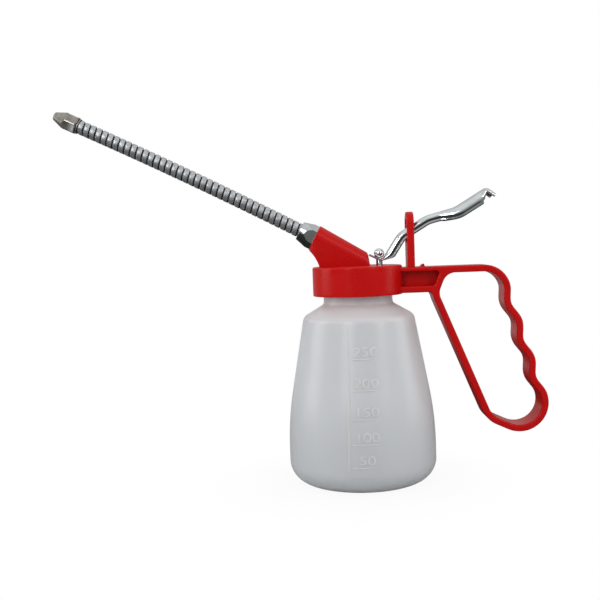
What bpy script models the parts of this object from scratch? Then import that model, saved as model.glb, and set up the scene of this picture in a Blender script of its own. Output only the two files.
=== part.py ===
# Thumb-lever oil can: a translucent bottle under a one-piece moulded head with a pump,
# a wound steel spout and a slotted lever.
# Units are metres. The origin is the centre of the flat base, +Z is up,
# the spout points to -X and the handle to +X.

import math

import bmesh
import bpy
from mathutils import Matrix, Vector

MM = 0.001

# Clearances
GAP = 0.3 * MM                      # between pieces that touch on the real object
SLIDE_GAP = 0.3 * MM                # between a moving piece and what guides it

# Bottle, blow-moulded
BOTTLE_RADIUS = 36.35 * MM
BOTTLE_WALL = 1.1 * MM
HEEL_RADIUS = 11.0 * MM
BODY_STRAIGHT_Z = 18.0 * MM         # the body is a plain cylinder up to here
TAPER_BLEND = 26.8 * MM             # height over which the cylinder eases into the taper
SHOULDER_RADIUS = 27.3 * MM
SHOULDER_Z = 82.0 * MM
SHOULDER_FILLET = 3.0 * MM
NECK_RADIUS = 17.0 * MM
NECK_START_Z = 88.1 * MM
NECK_FILLET = 1.6 * MM
FINISH_RADIUS = 18.2 * MM           # the threaded finish, hidden in the cap
FINISH_HEIGHT = 9.0 * MM
FINISH_STEP = 0.9 * MM
NECK_TOP_Z = 102.7 * MM

# Neck gasket
GASKET_THICKNESS = 1.0 * MM
GASKET_INNER_RADIUS = 15.2 * MM

# Cap of the pump head
CAP_CEILING = 2.2 * MM
CAP_HEIGHT = 14.3 * MM
CAP_WALL = 3.2 * MM
THREAD_CLEARANCE = 0.7 * MM         # room for the threads between finish and cap
CAP_EDGE = 0.8 * MM

# Spout boss on the cap
BOSS_ANGLE = math.radians(28.5)     # above the horizontal
BOSS_MOUTH_X = -20.6 * MM
BOSS_MOUTH_RISE = 14.5 * MM         # mouth centre above the cap's top
BOSS_MOUTH_RADIUS = 6.6 * MM
BOSS_REAR_RADIUS = 4.8 * MM
BOSS_LENGTH = 34.0 * MM
BOSS_REAR_X = 5.6 * MM
BOSS_REAR_LEAN = math.radians(8.0)
BOSS_FOOT_X = -18.6 * MM
BOSS_FRONT_CURVE = 18.0 * MM         # radius of the hollow front between mouth and cap
BOSS_FOOT_HALF_WIDTH = 5.9 * MM     # at the front, where it meets the cap's top
BOSS_BORE_DEPTH = 9.3 * MM
BOSS_BORE_RADIUS = 4.7 * MM

# Pump, off centre so that the rod comes up behind the boss
PUMP_X = 11.1 * MM
SPIGOT_RADIUS = 3.6 * MM
SPIGOT_BORE_RADIUS = 2.5 * MM
SPIGOT_LENGTH = 10.8 * MM           # below the cap's ceiling
PASSAGE_RADIUS = 1.3 * MM
PASSAGE_DROP = 7.0 * MM             # chamber inlet below the cap's top
RIB_HALF_WIDTH = 2.3 * MM
CYLINDER_WALL = 0.8 * MM
CYLINDER_OVERLAP = 5.0 * MM         # how far the cylinder pushes up over the spigot
ROD_RADIUS = 1.6 * MM
ROD_STUD_RADIUS = 1.0 * MM
ROD_SOCKET_DEPTH = 3.0 * MM
GLAND_RADIUS = 3.2 * MM
GLAND_DEPTH = 2.9 * MM
GLAND_BUSH_THICKNESS = 1.1 * MM
SPRING_LENGTH = 23.0 * MM
SPRING_WIRE_RADIUS = 0.35 * MM
SPRING_TURNS = 9
PISTON_LENGTH = 9.0 * MM
PISTON_REST = 1.5 * MM              # room left under the piston at rest
PISTON_SEAT_RADIUS = 0.8 * MM
PISTON_BALL_RADIUS = 1.3 * MM
PISTON_FLOOR = 1.6 * MM
PISTON_PORT_RADIUS = 0.7 * MM
SEAL_HEIGHT = 1.6 * MM
SEAL_GROOVE_DEPTH = 1.0 * MM
SEAL_GROOVE_DROP = 5.4 * MM         # groove's upper edge below the piston's top
FOOT_BODY_LENGTH = 7.0 * MM
FOOT_FLANGE_THICKNESS = 1.6 * MM
FOOT_NOSE_RADIUS = 1.9 * MM
FOOT_NOSE_LENGTH = 6.0 * MM
FOOT_SEAT_RADIUS = 1.0 * MM
FOOT_CHAMBER_RADIUS = 2.2 * MM
FOOT_LIP = 1.0 * MM
FOOT_LIP_RADIUS = 1.2 * MM
INLET_BALL_RADIUS = 1.6 * MM
INLET_BALL_LIFT = 1.2 * MM
TUBE_WALL = 0.8 * MM
TUBE_END_Z = 3.6 * MM
TUBE_CUT_ANGLE = math.radians(35.0)

# Ball nut on the rod, which the lever lifts
BALL_NUT_RADIUS = 2.55 * MM
BALL_NUT_RISE = 5.7 * MM            # ball centre above the cap's top

# Lever, pressed from sheet steel
LEVER_SHEET = 0.9 * MM
LEVER_HALF_WIDTH = 3.2 * MM
PAD_HALF_WIDTH = 6.0 * MM
LEVER_DEPTH = 4.6 * MM
PAD_DEPTH = 5.8 * MM
LIP_DEPTH = 2.2 * MM
LEVER_CROWN = 1.5 * MM              # how far the rounded top rises over its flanks
LEVER_SLOT_HALF_WIDTH = 1.8 * MM
LEVER_SLOT_FRONT = 2.9 * MM         # in front of the ball centre
LEVER_SLOT_REAR = 2.9 * MM
# Crown line from the ball centre: x, z, bend radius
LEVER_CROWN_LINE = (
    (-4.7 * MM, 0.0 * MM, 0.0 * MM),
    (1.20 * MM, -3.0 * MM, 1.6 * MM),
    (9.5 * MM, 9.6 * MM, 10.0 * MM),
    (23.0 * MM, 17.7 * MM, 15.0 * MM),
    (37.5 * MM, 21.4 * MM, 12.0 * MM),
    (53.2 * MM, 30.7 * MM, 2.0 * MM),
    (57.6 * MM, 27.4 * MM, 0.0 * MM),
)
LEVER_FULL_DEPTH_S = 11.0 * MM      # along the crown line, where the flanges reach their depth
LEVER_FLANGE_START_S = 4.6 * MM
PAD_START_S = 42.0 * MM
PAD_FULL_S = 50.0 * MM
PAD_END_S = 66.0 * MM

# Lever guide: a post with an eye that the lever passes through
GUIDE_X = 26.35 * MM
GUIDE_THICKNESS = 3.6 * MM
GUIDE_WIDTH = 10.6 * MM
GUIDE_RISE = 25.7 * MM              # crown above the cap's top
GUIDE_EDGE = 0.5 * MM
EYE_HALF_WIDTH = 3.7 * MM
EYE_FLOOR_RISE = 10.6 * MM
EYE_TOP_RISE = 22.2 * MM
EYE_CORNER = 2.0 * MM

# Arm and finger-loop handle
HANDLE_WIDTH = 15.0 * MM
HANDLE_EDGE = 0.8 * MM
STRIP_THICKNESS = 3.3 * MM
ARM_ROOT_X = 17.5 * MM
ARM_TOP_DROP = 1.4 * MM             # below the cap's top
ARM_FOOT_RISE = 0.4 * MM            # above the cap's lower edge
ARM_TOP_FLANGE = 2.1 * MM
ARM_LOWER_FLANGE = 3.2 * MM
ARM_WEB = 3.0 * MM
ARM_POCKET_X = 19.2 * MM
LOOP_NEAR_X = 37.3 * MM             # the loop's corner under the arm
LOOP_NEAR_DROP = 14.5 * MM          # below the cap's top
LOOP_BROW_X = 42.0 * MM             # the loop's corner in the arm's top
LOOP_NEAR_RADIUS = 8.0 * MM
KNUCKLE_X = 61.3 * MM               # centre of the corner behind the thumb
KNUCKLE_RADIUS = 13.0 * MM
WEDGE_X = 31.5 * MM                 # small rib across the arm's top
WEDGE_LENGTH = 4.4 * MM
WEDGE_RISE = 1.5 * MM
WEDGE_HALF_WIDTH = 2.6 * MM
GRIP_LEAN = math.radians(17.3)
GRIP_PITCH = 19.2 * MM
GRIP_FINGERS = 3
GRIP_DEPTH = 2.4 * MM
LOOP_END_RADIUS = 14.2 * MM
LOOP_END_SWEEP = math.radians(134.0)
LOOP_HEEL_DX = -14.8 * MM           # from the centre of the loop's end
LOOP_HEEL_DZ = -7.0 * MM
LOOP_HEEL_RADIUS = 11.0 * MM

# Spout
NUT_ACROSS_FLATS = 10.6 * MM
NUT_LENGTH = 7.7 * MM
NUT_NOSE_RADIUS = 4.6 * MM
NUT_CHAMFER_LENGTH = 5.6 * MM
NUT_SHANK_LENGTH = 8.0 * MM
NUT_POCKET_DEPTH = 3.0 * MM
WASHER_INNER_RADIUS = 2.2 * MM
HOSE_RADIUS = 3.5 * MM
HOSE_GROOVE = 0.45 * MM
HOSE_BORE_RADIUS = 2.6 * MM
HOSE_PITCH = 3.13 * MM
HOSE_RINGS = 39
HOSE_END_ANGLE = math.radians(25.9)
LINER_WALL = 0.8 * MM
NOZZLE_ACROSS_FLATS = 8.2 * MM
NOZZLE_HEX_LENGTH = 5.3 * MM
NOZZLE_CONE_LENGTH = 7.1 * MM
NOZZLE_TIP_RADIUS = 1.9 * MM
NOZZLE_TIP_ROUND = 0.6 * MM
NOZZLE_SHANK_LENGTH = 6.0 * MM
NOZZLE_ORIFICE_RADIUS = 0.7 * MM
RING_THICKNESS = 0.8 * MM
RING_RADIUS = 3.8 * MM

# Facets round a turned piece
COARSE = 16
MEDIUM = 20
FINE = 36

# Places worked out from the sizes above
CEILING_Z = NECK_TOP_Z + GAP + GASKET_THICKNESS + GAP
CAP_TOP_Z = CEILING_Z + CAP_CEILING
CAP_FOOT_Z = CAP_TOP_Z - CAP_HEIGHT
CAP_BORE_RADIUS = FINISH_RADIUS + THREAD_CLEARANCE
CAP_RADIUS = CAP_BORE_RADIUS + CAP_WALL
SPIGOT_FOOT_Z = CEILING_Z - SPIGOT_LENGTH
CYLINDER_TOP_Z = SPIGOT_FOOT_Z + CYLINDER_OVERLAP
CYLINDER_BORE_RADIUS = SPIGOT_RADIUS + GAP
CYLINDER_RADIUS = CYLINDER_BORE_RADIUS + CYLINDER_WALL
PISTON_RADIUS = CYLINDER_BORE_RADIUS - SLIDE_GAP
PISTON_TOP_Z = SPIGOT_FOOT_Z - SPRING_LENGTH
PISTON_FOOT_Z = PISTON_TOP_Z - PISTON_LENGTH
PISTON_SEAT_Z = PISTON_FOOT_Z + PISTON_FLOOR
CYLINDER_FOOT_Z = PISTON_FOOT_Z - PISTON_REST - FOOT_BODY_LENGTH + GAP
BALL_Z = CAP_TOP_Z + BALL_NUT_RISE
MOUTH_Z = CAP_TOP_Z + BOSS_MOUTH_RISE
ARM_TOP_Z = CAP_TOP_Z - ARM_TOP_DROP
ARM_FOOT_Z = CAP_FOOT_Z + ARM_FOOT_RISE
SPOUT_TILT = BOSS_ANGLE - math.pi / 2


# Scene helpers

def clear_scene():
    for old in list(bpy.data.objects):
        bpy.data.objects.remove(old)


def new_collection(name):
    group = bpy.data.collections.new(name)
    bpy.context.scene.collection.children.link(group)
    return group


clear_scene()
PARTS = new_collection("oil_can")
TOOLS = new_collection("cutters")


def make_material(name, colour, metallic, roughness):
    made = bpy.data.materials.new(name)
    made.use_nodes = True
    shader = made.node_tree.nodes["Principled BSDF"]
    shader.inputs["Base Color"].default_value = (*colour, 1.0)
    shader.inputs["Metallic"].default_value = metallic
    shader.inputs["Roughness"].default_value = roughness
    return made


MILKY = make_material("milky_polyethylene", (0.78, 0.80, 0.80), 0.0, 0.45)
RED = make_material("red_plastic", (0.68, 0.02, 0.02), 0.0, 0.35)
CHROME = make_material("chromed_steel", (0.80, 0.81, 0.82), 1.0, 0.12)
STEEL = make_material("bright_steel", (0.55, 0.56, 0.57), 1.0, 0.30)
NICKEL = make_material("nickel_plate", (0.52, 0.50, 0.46), 1.0, 0.25)
RUBBER = make_material("black_rubber", (0.03, 0.03, 0.03), 0.0, 0.70)
WHITE = make_material("white_plastic", (0.82, 0.82, 0.79), 0.0, 0.40)


def add_object(name, mesh, material, group):
    made = bpy.data.objects.new(name, mesh)
    mesh.materials.clear()
    mesh.materials.append(material)
    group.objects.link(made)
    return made


def hide_tool(tool):
    tool.hide_render = True
    tool.display_type = "WIRE"
    return tool


def smooth(made, angle=35.0):
    made.data.shade_smooth()
    made.data.set_sharp_from_angle(angle=math.radians(angle))
    return made


# Outline helpers. An outline is a list of (x, z) pairs.

def arc(centre, radius, start, end, count):
    """Points on a circle from one angle to another, both ends included."""
    cx, cz = centre
    turn = (end - start) / count
    return [(cx + radius * math.cos(start + turn * i), cz + radius * math.sin(start + turn * i))
            for i in range(count + 1)]


def rounded(corners, closed, steps=5):
    """A polyline through (x, z, radius) corners with each corner rounded to its radius."""
    outline = []
    total = len(corners)
    for i, (x, z, radius) in enumerate(corners):
        if radius <= 0.0 or (not closed and i in (0, total - 1)):
            outline.append((x, z))
            continue
        here = Vector((x, z))
        back = (Vector(corners[i - 1][:2]) - here).normalized()
        ahead = (Vector(corners[(i + 1) % total][:2]) - here).normalized()
        half = back.angle(ahead) / 2
        reach = radius / math.tan(half)
        centre = here + (back + ahead).normalized() * (radius / math.sin(half))
        first = here + back * reach - centre
        swing = math.pi - 2 * half
        side = 1.0 if back.x * ahead.y - back.y * ahead.x < 0 else -1.0
        for k in range(steps + 1):
            turned_by = side * swing * k / steps
            spoke = Matrix.Rotation(turned_by, 2) @ first
            outline.append((centre.x + spoke.x, centre.y + spoke.y))
    return outline


def offset(outline, distance, closed):
    """The outline moved sideways; a positive distance moves it to the left of its run."""
    moved = []
    total = len(outline)
    for i, (x, z) in enumerate(outline):
        before = outline[i - 1] if (i > 0 or closed) else outline[i]
        after = outline[(i + 1) % total] if (i < total - 1 or closed) else outline[i]
        run = (Vector(after) - Vector(before)).normalized()
        moved.append((x - run.y * distance, z + run.x * distance))
    return moved


# Solid helpers

def turned(name, profile, material, steps=MEDIUM, closed=True, group=PARTS):
    """A lathe-turned piece: (radius, z) points that run down the outer side, turned about Z."""
    mesh = bpy.data.meshes.new(name)
    points = [(radius, 0.0, z) for radius, z in profile]
    count = len(points)
    edges = [(i, i + 1) for i in range(count - 1)]
    if closed:
        edges.append((count - 1, 0))
    mesh.from_pydata(points, edges, [])
    made = add_object(name, mesh, material, group)
    lathe = made.modifiers.new("lathe", "SCREW")
    lathe.steps = steps
    lathe.render_steps = steps
    lathe.use_merge_vertices = True
    lathe.merge_threshold = 0.00001
    lathe.use_smooth_shade = False
    return made


def tube_profile(outer, inner, top, foot):
    return [(outer, top), (outer, foot), (inner, foot), (inner, top)]


def rod_profile(*stations):
    """A solid turned bar from (radius, z) stations, listed top to bottom."""
    return [(0.0, stations[0][1]), *stations, (0.0, stations[-1][1])]


def plate(name, outlines, half_depth, material, edge=0.0, edge_steps=1, group=PARTS):
    """A flat moulding: closed (x, z) outlines, the first one solid and the rest holes, extruded in Y."""
    curve = bpy.data.curves.new(name, "CURVE")
    curve.dimensions = "2D"
    curve.fill_mode = "BOTH"
    curve.extrude = half_depth - edge
    curve.bevel_depth = edge
    curve.offset = -edge
    curve.bevel_resolution = edge_steps
    for outline in outlines:
        spline = curve.splines.new("POLY")
        spline.points.add(len(outline) - 1)
        for point, (x, z) in zip(spline.points, outline):
            point.co = (x, z, 0.0, 1.0)
        spline.use_cyclic_u = True
    carrier = bpy.data.objects.new(name, curve)
    group.objects.link(carrier)
    upright = Matrix.Rotation(math.pi / 2, 4, "X")
    return meshed(carrier, material, group, upright)


def meshed(carrier, material, group, turn=Matrix.Identity(4)):
    """The mesh of a curve object, with its caps welded on, in place of the curve."""
    bpy.context.view_layer.update()
    name = carrier.name
    seen = carrier.evaluated_get(bpy.context.evaluated_depsgraph_get())
    mesh = bpy.data.meshes.new_from_object(seen)
    place = carrier.matrix_world.copy()
    bpy.data.objects.remove(carrier)
    form = bmesh.new()
    form.from_mesh(mesh)
    bmesh.ops.remove_doubles(form, verts=form.verts, dist=0.000005)
    bmesh.ops.transform(form, matrix=turn, verts=form.verts)
    bmesh.ops.recalc_face_normals(form, faces=form.faces)
    form.to_mesh(mesh)
    form.free()
    made = add_object(name, mesh, material, group)
    made.matrix_world = place
    return made


def piped(name, stations, material, resolution=2, group=PARTS):
    """A round bar through (x, y, z, radius) stations."""
    curve = bpy.data.curves.new(name, "CURVE")
    curve.dimensions = "3D"
    curve.bevel_depth = 1.0
    curve.bevel_resolution = resolution
    curve.use_fill_caps = True
    spline = curve.splines.new("POLY")
    spline.points.add(len(stations) - 1)
    for point, (x, y, z, radius) in zip(spline.points, stations):
        point.co = (x, y, z, 1.0)
        point.radius = radius
    carrier = bpy.data.objects.new(name, curve)
    group.objects.link(carrier)
    return meshed(carrier, material, group)


def block(name, low, high, material=RED, group=TOOLS):
    """A box between two corners."""
    mesh = bpy.data.meshes.new(name)
    form = bmesh.new()
    size = Vector(high) - Vector(low)
    centre = (Vector(high) + Vector(low)) / 2
    place = Matrix.Translation(centre) @ Matrix.Diagonal((*size, 1.0))
    bmesh.ops.create_cube(form, size=1.0, matrix=place)
    form.to_mesh(mesh)
    form.free()
    return add_object(name, mesh, material, group)


def bar(name, radius, start, end, material=RED, steps=MEDIUM, end_radius=None, group=TOOLS):
    """A round bar, or a cone frustum, between two points."""
    start = Vector(start)
    end = Vector(end)
    run = end - start
    turn = run.to_track_quat("Z", "Y").to_matrix().to_4x4()
    mesh = bpy.data.meshes.new(name)
    form = bmesh.new()
    tip = radius if end_radius is None else end_radius
    bmesh.ops.create_cone(form, cap_ends=True, segments=steps, radius1=radius, radius2=tip,
                          depth=run.length,
                          matrix=Matrix.Translation((start + end) / 2) @ turn)
    form.to_mesh(mesh)
    form.free()
    return add_object(name, mesh, material, group)


def hex_bar(name, across_flats, start_z, end_z, turn=math.pi / 6, group=TOOLS):
    """A hexagon bar along Z: flats face +Y and -Y, or edges do where turn is 0."""
    mesh = bpy.data.meshes.new(name)
    form = bmesh.new()
    corner = across_flats / 2 / math.cos(math.pi / 6)
    place = Matrix.Translation((0.0, 0.0, (start_z + end_z) / 2)) @ Matrix.Rotation(turn, 4, "Z")
    bmesh.ops.create_cone(form, cap_ends=True, segments=6, radius1=corner, radius2=corner,
                          depth=end_z - start_z, matrix=place)
    form.to_mesh(mesh)
    form.free()
    return add_object(name, mesh, STEEL, group)


def combine(made, tool, operation):
    hide_tool(tool)
    step = made.modifiers.new(tool.name, "BOOLEAN")
    step.operation = operation
    step.solver = "EXACT"
    step.object = tool
    return made


def join(made, *tools):
    for tool in tools:
        combine(made, tool, "UNION")
    return made


def cut(made, *tools):
    for tool in tools:
        combine(made, tool, "DIFFERENCE")
    return made


def bevel(made, width, segments=1, angle=50.0):
    edge = made.modifiers.new("edge", "BEVEL")
    edge.width = width
    edge.segments = segments
    edge.limit_method = "ANGLE"
    edge.angle_limit = math.radians(angle)
    return made


# Bottle

def bottle_radius(z):
    """Outer radius of the body: a cylinder, a parabola, then a straight taper to the shoulder."""
    taper_height = SHOULDER_Z - BODY_STRAIGHT_Z - TAPER_BLEND / 2
    slope = (BOTTLE_RADIUS - SHOULDER_RADIUS) / taper_height
    rise = z - BODY_STRAIGHT_Z
    if rise <= 0.0:
        return BOTTLE_RADIUS
    if rise < TAPER_BLEND:
        return BOTTLE_RADIUS - slope * rise * rise / (2 * TAPER_BLEND)
    return BOTTLE_RADIUS - slope * (rise - TAPER_BLEND / 2)


def make_bottle():
    finish_z = NECK_TOP_Z - FINISH_HEIGHT
    top = [
        (FINISH_RADIUS, NECK_TOP_Z, 0.0),
        (FINISH_RADIUS, finish_z, 0.0),
        (NECK_RADIUS, finish_z - FINISH_STEP, 0.0),
        (NECK_RADIUS, NECK_START_Z, NECK_FILLET),
        (SHOULDER_RADIUS, SHOULDER_Z, SHOULDER_FILLET),
        (bottle_radius(BODY_STRAIGHT_Z + TAPER_BLEND), BODY_STRAIGHT_Z + TAPER_BLEND, 0.0),
    ]
    profile = rounded(top, closed=False, steps=3)
    blend_steps = 3
    for i in range(blend_steps - 1, -1, -1):
        z = BODY_STRAIGHT_Z + TAPER_BLEND * i / blend_steps
        profile.append((bottle_radius(z), z))
    heel = arc((BOTTLE_RADIUS - HEEL_RADIUS, HEEL_RADIUS), HEEL_RADIUS, 0.0, -math.pi / 2, 5)
    profile += heel
    profile.append((0.0, 0.0))
    made = turned("bottle", profile, MILKY, steps=FINE, closed=False)
    wall = made.modifiers.new("wall", "SOLIDIFY")
    wall.thickness = BOTTLE_WALL
    wall.offset = -1.0
    wall.use_even_offset = True
    return made


def make_gasket():
    foot = NECK_TOP_Z + GAP
    profile = tube_profile(FINISH_RADIUS, GASKET_INNER_RADIUS, foot + GASKET_THICKNESS, foot)
    return turned("neck_gasket", profile, RUBBER, steps=FINE)


# Pump head, one moulding

def handle_centreline():
    """The loop's centre line, from the corner behind the thumb round to the arm."""
    half = STRIP_THICKNESS / 2
    knuckle = (KNUCKLE_X, ARM_TOP_Z - KNUCKLE_RADIUS)
    path = arc(knuckle, KNUCKLE_RADIUS - half, math.pi / 2, GRIP_LEAN, 6)
    start = Vector(path.pop())
    down = Vector((math.sin(GRIP_LEAN), -math.cos(GRIP_LEAN)))
    inward = Vector((-math.cos(GRIP_LEAN), -math.sin(GRIP_LEAN)))
    steps = 8 * GRIP_FINGERS
    length = GRIP_PITCH * GRIP_FINGERS
    for i in range(steps + 1):
        wave = (1 - math.cos(2 * math.pi * GRIP_FINGERS * i / steps)) / 2
        point = start + down * (length * i / steps) + inward * (GRIP_DEPTH * wave)
        path.append((point.x, point.y))
    end_radius = LOOP_END_RADIUS - half
    last = start + down * length
    centre = last - Vector((math.cos(GRIP_LEAN), math.sin(GRIP_LEAN))) * end_radius
    path += arc((centre.x, centre.y), end_radius, GRIP_LEAN, GRIP_LEAN - LOOP_END_SWEEP, 11)[1:]
    heel = (centre.x + LOOP_HEEL_DX, centre.y + LOOP_HEEL_DZ)
    near = (LOOP_NEAR_X, CAP_TOP_Z - LOOP_NEAR_DROP)
    brow = (LOOP_BROW_X, ARM_TOP_Z - half)
    corners = [(*path[-1], 0.0), (*heel, LOOP_HEEL_RADIUS), (*near, LOOP_NEAR_RADIUS),
               (*brow, LOOP_NEAR_RADIUS), (*path[0], 0.0)]
    closing = rounded(corners, closed=False, steps=5)
    return path + closing[1:-1], near, heel


def make_handle():
    half = STRIP_THICKNESS / 2
    centreline, near, heel = handle_centreline()
    opening = offset(centreline, -half, closed=True)
    rim = offset(centreline, half, closed=True)
    under = Vector(near) - Vector(heel)
    slant = under.normalized()
    flank = Vector((near[0], near[1])) + Vector((-slant.y, slant.x)) * half
    foot_x = flank.x + slant.x * (ARM_FOOT_Z - flank.y) / slant.y
    last = max(i for i, point in enumerate(rim) if point[1] < ARM_FOOT_Z - half)
    boundary = rim[:last + 1] + [(foot_x, ARM_FOOT_Z), (ARM_ROOT_X, ARM_FOOT_Z), (ARM_ROOT_X, ARM_TOP_Z)]
    made = plate("handle_form", [boundary, opening], HANDLE_WIDTH / 2, RED, HANDLE_EDGE, 1, TOOLS)
    pocket_foot = ARM_FOOT_Z + ARM_LOWER_FLANGE
    pocket_top = ARM_TOP_Z - ARM_TOP_FLANGE
    brow = Vector((LOOP_BROW_X, ARM_TOP_Z - half))
    rise = (brow - Vector(near)).normalized()
    side = Vector(near) + Vector((-rise.y, rise.x)) * half
    pocket = [
        (ARM_POCKET_X, pocket_foot),
        (side.x + rise.x * (pocket_foot - side.y) / rise.y, pocket_foot),
        (side.x + rise.x * (pocket_top - side.y) / rise.y, pocket_top),
        (ARM_POCKET_X, pocket_top),
    ]
    for facing in (-1, 1):
        shift = Vector((0.0, facing * (ARM_WEB / 2 + HANDLE_WIDTH / 2), 0.0))
        side_name = "front" if facing < 0 else "back"
        tool = plate(f"arm_pocket_{side_name}", [pocket], HANDLE_WIDTH / 2, RED, 0.0, 1, TOOLS)
        tool.location = shift
        cut(made, tool)
    wedge = [
        (WEDGE_X - WEDGE_LENGTH / 2, ARM_TOP_Z - WEDGE_RISE),
        (WEDGE_X + WEDGE_LENGTH / 2, ARM_TOP_Z - WEDGE_RISE),
        (WEDGE_X + WEDGE_LENGTH / 4, ARM_TOP_Z + WEDGE_RISE),
    ]
    return join(made, plate("arm_wedge", [wedge], WEDGE_HALF_WIDTH, RED, group=TOOLS))


def make_guide():
    """Post with a round head and an eye, its face across the lever."""
    half = GUIDE_WIDTH / 2
    foot = -2 * ARM_TOP_DROP
    crown = GUIDE_RISE
    post = [(half, foot)] + arc((0.0, crown - half), half, 0.0, math.pi, 10) + [(-half, foot)]
    eye = rounded([
        (EYE_HALF_WIDTH, EYE_FLOOR_RISE, EYE_CORNER),
        (EYE_HALF_WIDTH, EYE_TOP_RISE, EYE_HALF_WIDTH - GUIDE_EDGE),
        (-EYE_HALF_WIDTH, EYE_TOP_RISE, EYE_HALF_WIDTH - GUIDE_EDGE),
        (-EYE_HALF_WIDTH, EYE_FLOOR_RISE, EYE_CORNER),
    ], closed=True, steps=3)
    made = plate("guide_form", [post, eye], GUIDE_THICKNESS / 2, RED, GUIDE_EDGE, 1, TOOLS)
    made.rotation_euler = (0.0, 0.0, math.pi / 2)
    made.location = (GUIDE_X, 0.0, CAP_TOP_Z)
    return made


def mouth_point(along, across=0.0):
    """A point in the spout's plane: along the boss axis from the mouth, and above that axis."""
    return (
        BOSS_MOUTH_X - along * math.cos(BOSS_ANGLE) + across * math.sin(BOSS_ANGLE),
        MOUTH_Z + along * math.sin(BOSS_ANGLE) + across * math.cos(BOSS_ANGLE),
    )


def make_boss():
    """Tapered boss whose flanks run down to the cap: the hull of its two ends and its foot."""
    form = bmesh.new()
    turn = Matrix.Rotation(SPOUT_TILT, 4, "Y")
    for along, radius in ((0.0, BOSS_MOUTH_RADIUS), (-BOSS_LENGTH, BOSS_REAR_RADIUS)):
        x, z = mouth_point(along)
        bmesh.ops.create_circle(form, segments=FINE, radius=radius,
                                matrix=Matrix.Translation((x, 0.0, z)) @ turn)
    foot_z = CAP_TOP_Z - CAP_CEILING / 2
    rear_x, _ = mouth_point(-BOSS_LENGTH)
    for x, half_width in ((BOSS_FOOT_X - CAP_EDGE, BOSS_FOOT_HALF_WIDTH), (rear_x, BOSS_REAR_RADIUS)):
        for side in (-1, 1):
            bmesh.ops.create_vert(form, co=(x, side * half_width, foot_z))
    hull = bmesh.ops.convex_hull(form, input=form.verts)
    spare = [item for item in hull["geom_interior"] if isinstance(item, bmesh.types.BMVert)]
    bmesh.ops.delete(form, geom=spare, context="VERTS")
    bmesh.ops.recalc_face_normals(form, faces=form.faces)
    mesh = bpy.data.meshes.new("boss_form")
    form.to_mesh(mesh)
    form.free()
    made = add_object("boss_form", mesh, RED, TOOLS)
    reach = 40.0 * MM
    lip = Vector(mouth_point(0.0, -BOSS_MOUTH_RADIUS))
    run = Vector((BOSS_FOOT_X, CAP_TOP_Z)) - lip
    ahead = math.sqrt(BOSS_FRONT_CURVE ** 2 - (run.length / 2) ** 2)
    centre = lip + run / 2 + Vector((run.y, -run.x)).normalized() * ahead
    cut(made, bar("boss_front", BOSS_FRONT_CURVE, (centre.x, -reach, centre.y),
                  (centre.x, reach, centre.y), steps=2 * FINE))
    rear_tool = block("boss_rear", (0.0, -reach, -reach), (reach, reach, reach))
    rear_tool.location = (BOSS_REAR_X, 0.0, CAP_TOP_Z + BOSS_MOUTH_RISE / 3)
    rear_tool.rotation_euler = (0.0, -BOSS_REAR_LEAN, 0.0)
    cut(made, rear_tool)
    return made


def make_head():
    top = CAP_TOP_Z
    profile = [(0.0, top)] + arc((CAP_RADIUS - CAP_EDGE, top - CAP_EDGE), CAP_EDGE, math.pi / 2, 0.0, 3)
    profile += [(CAP_RADIUS, CAP_FOOT_Z + CAP_EDGE / 2), (CAP_RADIUS - CAP_EDGE / 2, CAP_FOOT_Z)]
    profile.append((0.0, CAP_FOOT_Z))
    made = turned("pump_head", profile, RED, steps=FINE)
    join(made, make_boss(), make_handle(), make_guide())
    centre = (0.0, 0.0)
    bore = bar("cap_bore", CAP_BORE_RADIUS, (*centre, CAP_FOOT_Z - CAP_EDGE), (*centre, CEILING_Z), steps=FINE)
    cut(made, bore)
    spigot = bar("spigot", SPIGOT_RADIUS, (PUMP_X, 0.0, SPIGOT_FOOT_Z),
                 (PUMP_X, 0.0, CEILING_Z + CAP_CEILING / 2))
    inlet = Vector((PUMP_X, 0.0, CAP_TOP_Z - PASSAGE_DROP))
    bore_end = mouth_point(-BOSS_BORE_DEPTH + PASSAGE_RADIUS)
    outlet = Vector((bore_end[0], 0.0, bore_end[1]))
    run = (inlet - outlet).normalized()
    left = PUMP_X - SPIGOT_RADIUS
    lowest = outlet + run * ((left - outlet.x) / run.x)
    rib_foot = lowest.z - 2 * PASSAGE_RADIUS
    highest_x = outlet.x + run.x * (CEILING_Z - outlet.z + 2 * PASSAGE_RADIUS) / run.z
    rib = block("passage_rib", (highest_x - 4 * PASSAGE_RADIUS, -RIB_HALF_WIDTH, rib_foot),
                (left + PASSAGE_RADIUS, RIB_HALF_WIDTH, CEILING_Z + CAP_CEILING / 2))
    join(made, spigot, rib)
    spigot_bore = bar("spigot_bore", SPIGOT_BORE_RADIUS, (PUMP_X, 0.0, SPIGOT_FOOT_Z - GAP),
                      (PUMP_X, 0.0, inlet.z + 2 * PASSAGE_RADIUS))
    rod_hole = bar("rod_hole", ROD_RADIUS + SLIDE_GAP, (PUMP_X, 0.0, inlet.z),
                   (PUMP_X, 0.0, top + GAP), steps=COARSE)
    gland = bar("gland_pocket", GLAND_RADIUS, (PUMP_X, 0.0, top - GLAND_DEPTH), (PUMP_X, 0.0, top + GAP))
    passage = bar("passage", PASSAGE_RADIUS, outlet, inlet, steps=COARSE)
    mouth = mouth_point(GAP)
    bottom = mouth_point(-BOSS_BORE_DEPTH)
    boss_bore = bar("boss_bore", BOSS_BORE_RADIUS, (bottom[0], 0.0, bottom[1]), (mouth[0], 0.0, mouth[1]))
    cut(made, spigot_bore, rod_hole, gland, passage, boss_bore)
    return made


# Pump

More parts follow.
